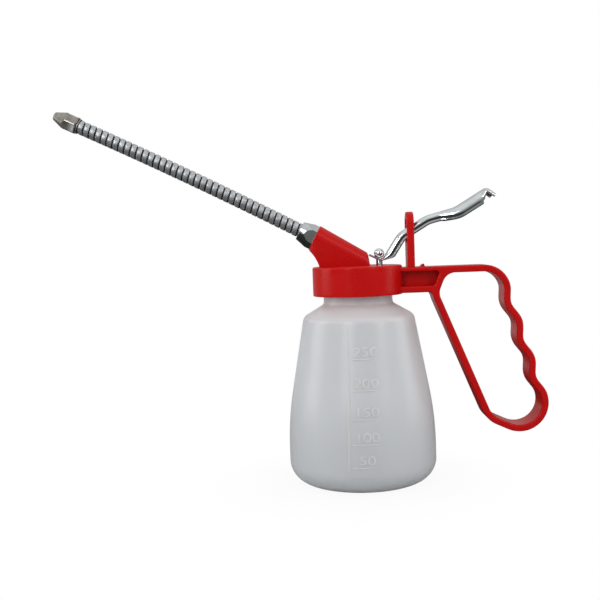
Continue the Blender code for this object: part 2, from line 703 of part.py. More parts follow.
def make_gland():
    foot = CAP_TOP_Z - GLAND_DEPTH
    outer = GLAND_RADIUS - GAP
    inner = ROD_RADIUS + SLIDE_GAP
    seal_top = CAP_TOP_Z - GAP / 2 - GLAND_BUSH_THICKNESS - GAP / 2
    seal = turned("gland_seal", tube_profile(outer, inner, seal_top, foot + GAP / 2), RUBBER, steps=COARSE)
    bush = turned("gland_bush", tube_profile(outer, inner, CAP_TOP_Z - GAP / 2, seal_top + GAP / 2),
                  WHITE, steps=COARSE)
    for made in (seal, bush):
        made.location.x = PUMP_X
    return seal, bush


def make_cylinder():
    profile = tube_profile(CYLINDER_RADIUS, CYLINDER_BORE_RADIUS, CYLINDER_TOP_Z, CYLINDER_FOOT_Z)
    made = turned("pump_cylinder", profile, WHITE)
    made.location.x = PUMP_X
    return made


def foot_levels():
    """Heights in the foot valve: body top, seat, flange top, flange foot and nose foot."""
    flange_top = CYLINDER_FOOT_Z - GAP
    flange_foot = flange_top - FOOT_FLANGE_THICKNESS
    body_top = flange_top + FOOT_BODY_LENGTH
    chamber_top = body_top - FOOT_LIP
    seat = chamber_top - 2 * INLET_BALL_RADIUS - INLET_BALL_LIFT - GAP
    return body_top, chamber_top, seat, flange_top, flange_foot, flange_foot - FOOT_NOSE_LENGTH


def make_foot_valve():
    body_top, chamber_top, seat, flange_top, flange_foot, nose_foot = foot_levels()
    body = CYLINDER_BORE_RADIUS - GAP
    profile = [
        (body, body_top), (body, flange_top), (CYLINDER_RADIUS, flange_top), (CYLINDER_RADIUS, flange_foot),
        (FOOT_NOSE_RADIUS, flange_foot), (FOOT_NOSE_RADIUS, nose_foot), (FOOT_SEAT_RADIUS, nose_foot),
        (FOOT_SEAT_RADIUS, seat), (FOOT_CHAMBER_RADIUS, seat), (FOOT_CHAMBER_RADIUS, chamber_top),
        (FOOT_LIP_RADIUS, chamber_top), (FOOT_LIP_RADIUS, body_top),
    ]
    made = turned("foot_valve", profile, WHITE)
    made.location.x = PUMP_X
    return made


def ball_rest(ball_radius, seat_radius, seat_z):
    """Centre height of a ball just clear of the edge of its round seat."""
    clear = ball_radius + GAP / 2
    return seat_z + math.sqrt(clear * clear - seat_radius * seat_radius)


def make_ball(name, radius, centre_z, material):
    mesh = bpy.data.meshes.new(name)
    form = bmesh.new()
    bmesh.ops.create_uvsphere(form, u_segments=12, v_segments=8, radius=radius)
    form.to_mesh(mesh)
    form.free()
    made = add_object(name, mesh, material, PARTS)
    made.location = (PUMP_X, 0.0, centre_z)
    return smooth(made)


def make_suction_tube():
    _, _, _, _, flange_foot, _ = foot_levels()
    inner = FOOT_NOSE_RADIUS + GAP
    outer = inner + TUBE_WALL
    profile = tube_profile(outer, inner, flange_foot - GAP, TUBE_END_Z)
    made = turned("suction_tube", profile, WHITE)
    made.location.x = PUMP_X
    reach = 4 * outer
    slant = block("tube_cut", (-reach, -reach, -reach), (reach, reach, 0.0))
    slant.rotation_euler = (0.0, TUBE_CUT_ANGLE, 0.0)
    slant.location = (PUMP_X + outer, 0.0, TUBE_END_Z)
    return cut(made, slant)


def make_rod():
    foot = PISTON_TOP_Z - ROD_SOCKET_DEPTH + GAP
    shoulder = BALL_Z - BALL_NUT_RADIUS + GAP
    stud_top = BALL_Z + BALL_NUT_RADIUS / 4
    profile = rod_profile((ROD_STUD_RADIUS, stud_top), (ROD_STUD_RADIUS, shoulder),
                          (ROD_RADIUS, shoulder), (ROD_RADIUS, foot))
    made = turned("pump_rod", [(r, z - PISTON_TOP_Z) for r, z in profile], CHROME, steps=COARSE)
    made.location = (PUMP_X, 0.0, PISTON_TOP_Z)
    return made


def make_ball_nut():
    """Round nut on the rod's stud, with a blind hole and a flat turned under it."""
    hole = ROD_STUD_RADIUS + GAP
    depth_top = BALL_NUT_RADIUS / 4 + GAP
    flat = BALL_NUT_RADIUS - 2 * GAP
    flat_radius = math.sqrt(BALL_NUT_RADIUS ** 2 - flat ** 2)
    start = math.pi / 2
    end = -math.acos(flat_radius / BALL_NUT_RADIUS)
    profile = arc((0.0, 0.0), BALL_NUT_RADIUS, start, end, 7)
    profile[0] = (0.0, BALL_NUT_RADIUS)
    profile += [(hole, -flat), (hole, depth_top), (0.0, depth_top)]
    made = turned("ball_nut", profile, CHROME, steps=MEDIUM, closed=False)
    made.location = (PUMP_X, 0.0, BALL_Z)
    return made


def make_piston():
    foot = PISTON_FOOT_Z
    seat = PISTON_SEAT_Z
    groove_top = PISTON_TOP_Z - SEAL_GROOVE_DROP
    groove_foot = groove_top - SEAL_HEIGHT - GAP
    groove = PISTON_RADIUS - SEAL_GROOVE_DEPTH
    socket = ROD_RADIUS + GAP
    profile = [
        (PISTON_RADIUS, PISTON_TOP_Z), (PISTON_RADIUS, groove_top), (groove, groove_top),
        (groove, groove_foot), (PISTON_RADIUS, groove_foot), (PISTON_RADIUS, foot),
        (PISTON_SEAT_RADIUS, foot), (PISTON_SEAT_RADIUS, seat), (socket, seat), (socket, PISTON_TOP_Z),
    ]
    made = turned("piston", profile, WHITE)
    made.location.x = PUMP_X
    port_z = PISTON_TOP_Z - ROD_SOCKET_DEPTH - PISTON_PORT_RADIUS
    port = bar("piston_port", PISTON_PORT_RADIUS, (PUMP_X, -2 * PISTON_RADIUS, port_z),
               (PUMP_X, 2 * PISTON_RADIUS, port_z), steps=8)
    return cut(made, port)


def make_piston_seal():
    top = PISTON_TOP_Z - SEAL_GROOVE_DROP - GAP / 2
    side_gap = GAP / 2
    outer = CYLINDER_BORE_RADIUS - side_gap
    inner = PISTON_RADIUS - SEAL_GROOVE_DEPTH + side_gap
    made = turned("piston_seal", tube_profile(outer, inner, top, top - SEAL_HEIGHT), RUBBER)
    made.location.x = PUMP_X
    return made


def make_spring():
    """Coil between the spigot's end and the piston."""
    mean_radius = (ROD_RADIUS + CYLINDER_BORE_RADIUS) / 2
    top = SPIGOT_FOOT_Z - GAP - SPRING_WIRE_RADIUS
    foot = PISTON_TOP_Z + GAP + SPRING_WIRE_RADIUS
    per_turn = 9
    count = SPRING_TURNS * per_turn
    stations = []
    for i in range(count + 1):
        angle = 2 * math.pi * i / per_turn
        stations.append((mean_radius * math.cos(angle), mean_radius * math.sin(angle),
                         foot + (top - foot) * i / count, SPRING_WIRE_RADIUS))
    pitch = (top - foot) / SPRING_TURNS
    print("spring: least gap between curls", round((pitch - 2 * SPRING_WIRE_RADIUS) / MM, 2), "mm")
    made = piped("return_spring", stations, STEEL, resolution=1)
    made.location.x = PUMP_X
    return made


# Lever

def lever_stations():
    """Crown line points about the ball centre, each with its direction and its distance along."""
    line = rounded(LEVER_CROWN_LINE, closed=False, steps=5)
    dense = []
    longest = 5.0 * MM
    for start, end in zip(line, line[1:]):
        pieces = max(1, math.ceil((Vector(end) - Vector(start)).length / longest))
        for k in range(pieces):
            share = k / pieces
            dense.append((start[0] + (end[0] - start[0]) * share, start[1] + (end[1] - start[1]) * share))
    dense.append(line[-1])
    stations = []
    run = 0.0
    for i, point in enumerate(dense):
        if i:
            run += (Vector(point) - Vector(dense[i - 1])).length
        ahead = Vector(dense[min(i + 1, len(dense) - 1)]) - Vector(dense[max(i - 1, 0)])
        stations.append((Vector(point), ahead.normalized(), run))
    return stations


def ease(value, start, end):
    """A smooth step from 0 to 1 between two values."""
    share = min(max((value - start) / (end - start), 0.0), 1.0)
    return share * share * (3 - 2 * share)


def lever_section(run, total):
    """Half width, flange depth and crown height of the channel at a distance along it."""
    full = ease(run, LEVER_FLANGE_START_S, LEVER_FULL_DEPTH_S)
    pad = ease(run, PAD_START_S, PAD_FULL_S)
    lip = ease(run, PAD_END_S, total)
    width = LEVER_HALF_WIDTH + (PAD_HALF_WIDTH - LEVER_HALF_WIDTH) * pad
    crown = LEVER_CROWN * (0.15 + 0.85 * full)
    depth = LEVER_DEPTH * full + (PAD_DEPTH - LEVER_DEPTH) * pad
    depth += (LIP_DEPTH - depth) * lip
    return width, max(depth, crown), crown


def make_lever():
    stations = lever_stations()
    total = stations[-1][2]
    across = 8
    mesh = bpy.data.meshes.new("lever")
    form = bmesh.new()
    bmesh.ops.create_grid(form, x_segments=len(stations) - 1, y_segments=across, size=0.5)
    for vert in form.verts:
        i = round((vert.co.x + 0.5) * (len(stations) - 1))
        v = vert.co.y * 2
        point, ahead, run = stations[i]
        width, depth, crown = lever_section(run, total)
        round_share = 0.8
        turn = min(abs(v) / round_share, 1.0) * math.pi / 2
        y = math.copysign(width * math.sin(turn), v)
        drop = crown * (1 - math.cos(turn))
        flank = max(abs(v) - round_share, 0.0) / (1 - round_share)
        drop += (depth - crown) * flank
        vert.co = (point.x + ahead.y * drop, y, point.y - ahead.x * drop)
    bmesh.ops.recalc_face_normals(form, faces=form.faces)
    top = max(form.faces, key=lambda face: face.calc_center_median().x - abs(face.calc_center_median().y))
    if top.normal.x < 0:
        bmesh.ops.reverse_faces(form, faces=form.faces)
    form.to_mesh(mesh)
    form.free()
    made = add_object("lever", mesh, CHROME, PARTS)
    made.location = (PUMP_X, 0.0, BALL_Z)
    sheet = made.modifiers.new("sheet", "SOLIDIFY")
    sheet.thickness = LEVER_SHEET
    sheet.offset = -1.0
    sheet.use_even_offset = True
    slot = block("lever_slot", (PUMP_X - LEVER_SLOT_FRONT, -LEVER_SLOT_HALF_WIDTH, BALL_Z - 4 * BALL_NUT_RADIUS),
                 (PUMP_X + LEVER_SLOT_REAR, LEVER_SLOT_HALF_WIDTH, BALL_Z + GAP))
    return cut(made, slot)


# Spout

def spout_frame(made, along=0.0, tilt=SPOUT_TILT):
    """Stands a piece that was made along Z on the boss axis."""
    place = mouth_point(along)
    made.location = (place[0], 0.0, place[1])
    made.rotation_euler = (0.0, tilt, 0.0)
    return made


def make_spout_washer():
    foot = -BOSS_BORE_DEPTH + GAP
    top = GAP - NUT_SHANK_LENGTH - GAP
    profile = tube_profile(BOSS_BORE_RADIUS - GAP, WASHER_INNER_RADIUS, top, foot)
    return spout_frame(turned("spout_washer", profile, RUBBER))


def make_nut():
    """Gland nut: hexagon with a long turned nose, threaded shank, bore and a pocket for the hose."""
    corner = NUT_ACROSS_FLATS / 2 / math.cos(math.pi / 6)
    foot = GAP
    nose = foot + NUT_LENGTH
    shank = BOSS_BORE_RADIUS - GAP
    spread = (corner - NUT_NOSE_RADIUS) / NUT_CHAMFER_LENGTH
    over = corner + spread * (NUT_LENGTH - NUT_CHAMFER_LENGTH)
    made = turned("spout_nut", rod_profile((NUT_NOSE_RADIUS, nose), (over, foot)), STEEL)
    hexagon = hex_bar("nut_hexagon", NUT_ACROSS_FLATS, foot - GAP, nose + GAP)
    combine(made, hexagon, "INTERSECT")
    shank_bar = bar("nut_shank", shank, (0.0, 0.0, foot - NUT_SHANK_LENGTH), (0.0, 0.0, foot + GAP))
    join(made, shank_bar)
    bore = bar("nut_bore", HOSE_BORE_RADIUS, (0.0, 0.0, foot - NUT_SHANK_LENGTH - GAP), (0.0, 0.0, nose + GAP))
    pocket = bar("nut_pocket", HOSE_RADIUS + GAP, (0.0, 0.0, nose - NUT_POCKET_DEPTH), (0.0, 0.0, nose + GAP))
    cut(made, bore, pocket)
    spout_frame(made)
    for tool in (hexagon, shank_bar, bore, pocket):
        spout_frame(tool)
    return made


def hose_route():
    """Centre points of the hose: straight ends, an even bend between them, one point per half rib."""
    start_along = GAP + NUT_LENGTH - NUT_POCKET_DEPTH + GAP
    place = Vector(mouth_point(start_along))
    length = HOSE_PITCH * HOSE_RINGS
    straight = 2 * HOSE_RADIUS
    bend = length - 2 * straight
    points = []
    fine_step = HOSE_PITCH / 20
    count = round(length / fine_step)
    for i in range(count + 1):
        run = length * i / count
        points.append((place.copy(), run))
        share = min(max((run - straight) / bend, 0.0), 1.0)
        angle = BOSS_ANGLE + (HOSE_END_ANGLE - BOSS_ANGLE) * share
        place += Vector((-math.cos(angle), math.sin(angle))) * (length / count)
    return points, length


def route_at(points, length, run):
    index = min(max(round(run / length * (len(points) - 1)), 0), len(points) - 1)
    return points[index][0]


def make_hose():
    """Wound steel hose: one rib for each turn of the band, with a plain bore."""
    points, length = hose_route()
    stations = []
    for ring in range(HOSE_RINGS):
        start = HOSE_PITCH * ring
        band = HOSE_PITCH * 0.86
        for run, radius in ((start, HOSE_RADIUS), (start + band, HOSE_RADIUS - HOSE_GROOVE)):
            place = route_at(points, length, run)
            stations.append((place.x, 0.0, place.y, radius))
    end = route_at(points, length, length)
    stations.append((end.x, 0.0, end.y, HOSE_RADIUS))
    made = piped("spout_hose", stations, STEEL, resolution=2)
    bore_points = []
    count = 20
    for i in range(count + 1):
        place = route_at(points, length, length * i / count)
        bore_points.append((place.x, 0.0, place.y, HOSE_BORE_RADIUS))
    first = Vector(bore_points[0][:3])
    last = Vector(bore_points[-1][:3])
    first += (first - Vector(bore_points[1][:3])).normalized() * GAP
    last += (last - Vector(bore_points[-2][:3])).normalized() * GAP
    bore_points[0] = (*first, HOSE_BORE_RADIUS)
    bore_points[-1] = (*last, HOSE_BORE_RADIUS)
    bore = piped("hose_bore", bore_points, STEEL, resolution=2, group=TOOLS)
    return cut(made, bore)


def make_liner():
    """Plastic tube through the hose, from the nut's shank to the nozzle."""
    points, length = hose_route()
    outer = HOSE_BORE_RADIUS - GAP
    inner = outer - LINER_WALL
    back = mouth_point(GAP - NUT_SHANK_LENGTH + GAP)
    count = 18
    usable = length - NOZZLE_SHANK_LENGTH - GAP
    route = [Vector(back)] + [route_at(points, length, usable * i / count) for i in range(count + 1)]
    made = piped("spout_liner", [(p.x, 0.0, p.y, outer) for p in route], WHITE)
    ahead = (route[-1] - route[-2]).normalized() * GAP
    behind = (route[0] - route[1]).normalized() * GAP
    route[0] = route[0] + behind
    route[-1] = route[-1] + ahead
    bore = piped("liner_bore", [(p.x, 0.0, p.y, inner) for p in route], WHITE, group=TOOLS)
    return cut(made, bore)


def nozzle_place(made, along):
    """Stands a piece made along Z at the hose's end, pointing out of it."""
    points, length = hose_route()
    end = route_at(points, length, length)
    made.location = (
        end.x - along * math.cos(HOSE_END_ANGLE), 0.0, end.y + along * math.sin(HOSE_END_ANGLE))
    made.rotation_euler = (0.0, HOSE_END_ANGLE - math.pi / 2, 0.0)
    return made


def make_nozzle_ring():
    profile = tube_profile(RING_RADIUS, HOSE_BORE_RADIUS, RING_THICKNESS, 0.0)
    return nozzle_place(turned("nozzle_ring", profile, NICKEL, steps=MEDIUM), GAP)


def make_nozzle():
    corner = NOZZLE_ACROSS_FLATS / 2 / math.cos(math.pi / 6)
    tip = NOZZLE_HEX_LENGTH + NOZZLE_CONE_LENGTH
    spread = (corner - NOZZLE_TIP_RADIUS) / NOZZLE_CONE_LENGTH
    over = corner + spread * NOZZLE_HEX_LENGTH * 0.25
    rim = arc((NOZZLE_TIP_RADIUS - NOZZLE_TIP_ROUND, tip), NOZZLE_TIP_ROUND, math.pi / 2, 0.0, 3)
    profile = rod_profile(*rim, (over, NOZZLE_HEX_LENGTH * 0.75), (over, 0.0))
    made = turned("nozzle", profile, NICKEL)
    hexagon = hex_bar("nozzle_hexagon", NOZZLE_ACROSS_FLATS, -GAP, tip + 2 * NOZZLE_TIP_ROUND, turn=0.0)
    combine(made, hexagon, "INTERSECT")
    reach = NOZZLE_SHANK_LENGTH + RING_THICKNESS + GAP
    shank = bar("nozzle_shank", HOSE_BORE_RADIUS - GAP, (0.0, 0.0, -reach), (0.0, 0.0, GAP))
    join(made, shank)
    orifice = bar("nozzle_orifice", NOZZLE_ORIFICE_RADIUS, (0.0, 0.0, -reach - GAP),
                  (0.0, 0.0, tip + 2 * NOZZLE_TIP_ROUND), steps=12)
    cut(made, orifice)
    along = GAP + RING_THICKNESS + GAP
    for piece in (made, hexagon, shank, orifice):
        nozzle_place(piece, along)
    return made


def build():
    make_bottle()
    make_gasket()
    make_head()
    make_gland()
    make_cylinder()
    make_foot_valve()
    _, _, seat, _, _, _ = foot_levels()
    make_ball("inlet_ball", INLET_BALL_RADIUS, ball_rest(INLET_BALL_RADIUS, FOOT_SEAT_RADIUS, seat), STEEL)
    make_suction_tube()
    make_rod()
    make_ball_nut()
    make_piston()
    make_piston_seal()
    make_ball("piston_ball", PISTON_BALL_RADIUS,
              ball_rest(PISTON_BALL_RADIUS, PISTON_SEAT_RADIUS, PISTON_SEAT_Z), STEEL)
    make_spring()
    make_lever()
    make_spout_washer()
    make_nut()
    make_hose()
    make_liner()
    make_nozzle_ring()
    make_nozzle()


build()
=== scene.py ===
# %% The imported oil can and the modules
import math

import bmesh
import bpy
from mathutils import Matrix, Vector
from mathutils.bvhtree import BVHTree


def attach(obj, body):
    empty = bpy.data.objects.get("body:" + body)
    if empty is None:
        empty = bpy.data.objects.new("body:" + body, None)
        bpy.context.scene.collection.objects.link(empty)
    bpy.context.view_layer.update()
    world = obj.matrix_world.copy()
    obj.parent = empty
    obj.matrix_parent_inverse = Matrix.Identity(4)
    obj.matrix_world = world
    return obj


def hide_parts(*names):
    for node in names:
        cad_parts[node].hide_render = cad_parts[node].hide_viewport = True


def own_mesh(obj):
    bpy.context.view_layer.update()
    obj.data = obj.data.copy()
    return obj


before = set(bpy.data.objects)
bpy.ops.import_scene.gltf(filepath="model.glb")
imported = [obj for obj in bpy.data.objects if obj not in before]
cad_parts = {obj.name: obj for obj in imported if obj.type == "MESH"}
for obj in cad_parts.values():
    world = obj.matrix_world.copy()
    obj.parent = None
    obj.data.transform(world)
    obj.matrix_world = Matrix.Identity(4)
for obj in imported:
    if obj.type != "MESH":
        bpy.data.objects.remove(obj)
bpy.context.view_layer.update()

MM = 0.001

# %% [markdown]
# # A plastic oil can, dressed for its picture
#
# This notebook dresses a pump oiler: a milky bottle, a red moulded head with a finger
# loop, a chromed thumb lever and a wound steel spout with a nozzle. The solids are
# already there as a frame that moves. Each cell below replaces a plain solid with a
# finely made piece in the same place, or gives a solid the finish of its real material.
#
# Blender measures in metres. Outlines are written in millimetres and multiplied by MM
# when their points are made. The bottle stands on z = 0, the spout points to -X and the
# handle to +X.

# %% [markdown]
# ## The camera
#
# A camera is placed by a position and three directions: what is right, what is up and
# what is ahead. It could be aimed with a Track To constraint, but a matrix built from
# the three directions is exact. They were recovered from the picture: a 54 mm lens,
# 0.45 m in front of the can and a little above its cap.

# %% Camera
CAMERA_PLACE = Vector((-0.02182, -0.44545, 0.11854))
CAMERA_RIGHT = Vector((0.99928, 0.01331, -0.03551))
CAMERA_UP = Vector((0.03461, 0.06320, 0.99740))
CAMERA_AHEAD = Vector((-0.01552, 0.99791, -0.06270))
LENS, SENSOR = 54.0, 36.0
NEAREST, FARTHEST = 0.01, 20.0


def in_scene(name, data):
    made = bpy.data.objects.new(name, data)
    bpy.context.scene.collection.objects.link(made)
    return made


def place_camera():
    lens = bpy.data.cameras.new("camera")
    lens.lens, lens.sensor_width = LENS, SENSOR
    lens.clip_start, lens.clip_end = NEAREST, FARTHEST
    camera = in_scene("camera", lens)
    turn = Matrix((CAMERA_RIGHT, CAMERA_UP, -CAMERA_AHEAD)).transposed().to_4x4()
    camera.matrix_world = Matrix.Translation(CAMERA_PLACE) @ turn
    bpy.context.scene.camera = camera
    return camera


camera = place_camera()
bpy.context.scene.view_settings.view_transform = "Standard"
print("camera height:", round(camera.location.z / MM, 1), "mm")

# %% [markdown]
# ## Helpers for the meshes
#
# Every new piece starts as a bmesh, which is a mesh in memory that operators can work on.
# `piece_from` turns such a bmesh into an object. It merges doubled points, makes the faces
# look outwards, and shades the surface smooth, with edges kept sharp where two faces meet
# at more than a given angle. A weighted-normal modifier keeps the large flats flat.

# %% From bmesh to object
DOUBLED = 0.002 * MM


def piece_from(form, name, sharp=40.0, fix_normals=True):
    bmesh.ops.remove_doubles(form, verts=form.verts, dist=DOUBLED)
    if fix_normals:
        bmesh.ops.recalc_face_normals(form, faces=form.faces)
    mesh = bpy.data.meshes.new(name)
    form.to_mesh(mesh)
    form.free()
    mesh.shade_smooth()
    mesh.set_sharp_from_angle(angle=math.radians(sharp))
    return in_scene(name, mesh)


def keep_flats_flat(made):
    step = made.modifiers.new("flat shading", "WEIGHTED_NORMAL")
    step.keep_sharp = True
    step.weight = 80
    return made


def triangles(made):
    return sum(len(face.vertices) - 2 for face in made.data.polygons)


# %% [markdown]
# ### Cutting and rounding
#
# Two operators do most of the bench work. bevel rounds edges with a few narrow faces, and
# bisect_plane saws a form along a plane and clears away what lies outside it.

# %% Bench tools
def round_edges(form, edges, reach, segments):
    """reach is how far from the edge its rounding starts, in millimetres."""
    return bmesh.ops.bevel(form, geom=edges, offset=reach * MM, offset_type="OFFSET",
                           segments=segments, profile=0.5, affect="EDGES", material=-1)


def saw(form, spot, outward):
    """spot is a point of the plane, in millimetres."""
    everything = form.verts[:] + form.edges[:] + form.faces[:]
    return bmesh.ops.bisect_plane(form, geom=everything, dist=0.0005 * MM,
                                  plane_co=Vector(spot) * MM, plane_no=outward,
                                  clear_outer=True)


def open_edges(form):
    return [edge for edge in form.edges if edge.is_boundary]


def edges_of(verts):
    """Each edge once. A set would shuffle them, and bridge_loops minds the order."""
    return list(dict.fromkeys(edge for vert in verts for edge in vert.link_edges))


def block(form, low, high):
    """A box between two corners, in millimetres."""
    low, high = Vector(low), Vector(high)
    size = Matrix.Diagonal((*((high - low) * MM), 1.0))
    bmesh.ops.create_cube(form, size=1.0, matrix=Matrix.Translation((low + high) / 2 * MM) @ size)


# %% [markdown]
# ### Rings bridged into a skin
#
# Many moulded forms can be read as a row of rings: round the outside, over a rim and back
# down the inside. `ringed` stacks one circle for each ring, joins each circle to the next
# with bridge_loops, and then moves the points to their places. The stack comes first
# because bridge_loops can twist the skin between two rings that lie in one plane. This
# way copes with rings that change their centre or shape, which a plain lathe can't do.

# %% Skin over rings
def ringed(form, rings, segments, closed=False):
    """rings are functions that place a point of the unit circle."""
    circles = [bmesh.ops.create_circle(form, radius=1.0, segments=segments,
                                       matrix=Matrix.Translation((0.0, 0.0, level)))["verts"]
               for level in range(len(rings))]
    loops = [edges_of(verts) for verts in circles]
    for first, second in zip(loops, loops[1:] + loops[:1] if closed else loops[1:]):
        bmesh.ops.bridge_loops(form, edges=first + second)
    for ring, verts in zip(rings, circles):
        for vert in verts:
            vert.co = ring(vert.co.copy())
    return loops


def flat_ring(radius, z, centre_x):
    return lambda unit: Vector((centre_x + unit.x * radius, unit.y * radius, z)) * MM


def flat_rings(stations, centre_x=0.0):
    """stations are (radius, z) in millimetres."""
    return [flat_ring(radius, z, centre_x) for radius, z in stations]


# %% [markdown]
# ### A lathe
#
# A turned piece is an outline that is spun once round its axis. The outline is a short
# chain of points, each with a rounding. bevel with affect VERTICES rounds a point of a
# chain of edges just as it rounds an edge of a solid, so the chain itself stays short.

# %% Lathe
def chain(form, corners, closed):
    """corners are (radius, z, reach): reach is how far from the corner its rounding starts."""
    verts = [form.verts.new((radius * MM, 0.0, z * MM)) for radius, z, _ in corners]
    for first, second in zip(verts, verts[1:]):
        form.edges.new((first, second))
    if closed:
        form.edges.new((verts[-1], verts[0]))
    for vert, (_, _, reach) in zip(verts, corners):
        if reach > 0.0:
            bmesh.ops.bevel(form, geom=[vert], offset=reach * MM, offset_type="OFFSET",
                            segments=5, profile=0.5, affect="VERTICES", material=-1)


def turned_form(corners, steps, centre=(0.0, 0.0, 0.0), closed=True):
    form = bmesh.new()
    chain(form, corners, closed)
    bmesh.ops.spin(form, geom=form.verts[:] + form.edges[:], cent=(0.0, 0.0, 0.0),
                   axis=(0.0, 0.0, 1.0), angle=2 * math.pi, steps=steps, use_merge=True,
                   use_duplicate=False)
    bmesh.ops.remove_doubles(form, verts=form.verts, dist=DOUBLED)
    bmesh.ops.translate(form, verts=form.verts, vec=centre)
    return form


def turned(name, corners, steps, centre=(0.0, 0.0, 0.0), closed=True, sharp=40.0):
    return piece_from(turned_form(corners, steps, centre, closed), name, sharp)


# %% [markdown]
# ### Flat forms drawn as curves
#
# Text, and plates with holes, are easiest as curves: Blender fills the outline and rounds
# its edges. `form_from_curve` takes the filled result over into a bmesh and throws the
# curve away.

# %% From curve to bmesh
def form_from_curve(curve, doubled):
    carrier = in_scene(curve.name, curve)
    bpy.context.view_layer.update()
    seen = carrier.evaluated_get(bpy.context.evaluated_depsgraph_get())
    mesh = bpy.data.meshes.new_from_object(seen)
    bpy.data.objects.remove(carrier)
    form = bmesh.new()
    form.from_mesh(mesh)
    bpy.data.meshes.remove(mesh)
    bmesh.ops.remove_doubles(form, verts=form.verts, dist=doubled)
    return form


# %% [markdown]
# ### Riding, replacing and finishing
#
# A piece must ride on one of the bodies, so that it follows the joints. `fit` does the
# small jobs that each finished piece needs: it lays on the finish, puts the piece on its
# body and hides the plain solids that it stands in for. A piece with faces of a second
# kind, such as a groove painted dark as shade, takes a second finish.

# %% Fit a piece to the frame
finishes = {}
made_pieces = []


def fit(piece, body, finish, *nodes, slot=None, second=None):
    piece.data.materials.append(finishes[finish])
    if second:
        piece.data.materials.append(finishes[second])
    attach(piece, body)
    if nodes:
        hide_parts(*nodes)
    made_pieces.append(piece)
    print(piece.name, "-", triangles(piece), "triangles, on", body)
    return piece


# %% [markdown]
# ## Helpers for the materials
#
# Plastic and metal are never one flat value. Each finish below is a Principled shader
# whose colour, roughness and bump come from noise on Object coordinates. The pieces sit
# at the origin unturned, so Object coordinates are simply metres on the can: a noise
# scale of 1000 has a cell about every millimetre.
#
# `added` makes a node and feeds its inputs, each with a number, a colour or the output
# of another node. The helpers after it are the few kinds of node that the finishes use.

# %% Nodes and their inputs
def give(tree, socket, value):
    if isinstance(value, bpy.types.NodeSocket):
        tree.links.new(value, socket)
    elif socket.type == "RGBA":
        socket.default_value = (*value, 1.0)
    else:
        socket.default_value = value


def feed(tree, node, inputs):
    for name, value in inputs.items():
        give(tree, node.inputs[name], value)
    return node


def added(tree, kind, inputs, **settings):
    node = tree.nodes.new("ShaderNode" + kind)
    for name, value in settings.items():
        setattr(node, name, value)
    return feed(tree, node, inputs)


def new_finish(name):
    made = bpy.data.materials.new(name)
    made.use_nodes = True
    finishes[name] = made
    tree = made.node_tree
    return tree, tree.nodes["Principled BSDF"], added(tree, "TexCoord", {}).outputs["Object"]


# %% Numbers: coordinates, sums, ranges and noise
def coordinate(tree, source, axis):
    return added(tree, "SeparateXYZ", {"Vector": source}).outputs[axis]


def maths(tree, operation, first, second):
    node = added(tree, "Math", {}, operation=operation)
    give(tree, node.inputs[0], first)
    give(tree, node.inputs[1], second)
    return node.outputs["Value"]


def ranged(tree, source, low, high, from_low=0.3, from_high=0.7):
    """Noise stays mostly between 0.3 and 0.7, so that is the usual range to start from."""
    return added(tree, "MapRange", {
        "Value": source, "From Min": from_low, "From Max": from_high,
        "To Min": low, "To Max": high}).outputs["Result"]


def stretched(tree, source, scale):
    return added(tree, "Mapping", {"Vector": source, "Scale": scale}).outputs["Vector"]


def noise(tree, source, scale, detail=3.0):
    return added(tree, "TexNoise", {"Vector": source, "Scale": scale,
                                    "Detail": detail}).outputs["Fac"]


# %% Colours and bumps
def two_tones(tree, factor, first, second):
    node = added(tree, "Mix", {}, data_type="RGBA")
    tree.links.new(factor, node.inputs["Factor"])
    colours = [socket for socket in node.inputs if socket.type == "RGBA"]
    for socket, colour in zip(colours, (first, second)):
        give(tree, socket, colour)
    return next(socket for socket in node.outputs if socket.type == "RGBA")


def patches(tree, source, scale, detail, first, second):
    """One colour that drifts into another."""
    drift = noise(tree, source, scale, detail)
    return two_tones(tree, ranged(tree, drift, 0.0, 1.0), first, second)


def bumped(tree, shader, height, distance, strength, under=None):
    inputs = {"Height": height, "Distance": distance, "Strength": strength}
    if under is not None:
        inputs["Normal"] = under
    normal = added(tree, "Bump", inputs).outputs["Normal"]
    tree.links.new(normal, shader.inputs["Normal"])
    return normal


# %% [markdown]
# ### Milky polyethylene
#
# The bottle is blown from natural polyethylene: grey-white, waxy, and just clear enough
# to let light through. Glass-like transmission would show every part inside, and a plain
# white would look like china. Subsurface scattering gives the waxy depth. The colour
# drifts a little. It is painted a shade darker near the base, as painted shade near the
# floor, and painted lighter and warmer in the thin neck, as painted light for the red
# cap's glow through the wall and against the cap's shadow there. A little sheen keeps the
# round sides bright, as light inside the wall does. The grain is fine, and the wall is
# slightly wavy up and down, as a blown wall is.
#
# The raised marks on the wall have a finish of their own, painted paler than the wall
# around them: a painted highlight for the light that their raised edges catch.

# %% Finish: milky polyethylene
EVEN = (1.0, 1.0, 1.0)          # red, green and blue light scatter equally far


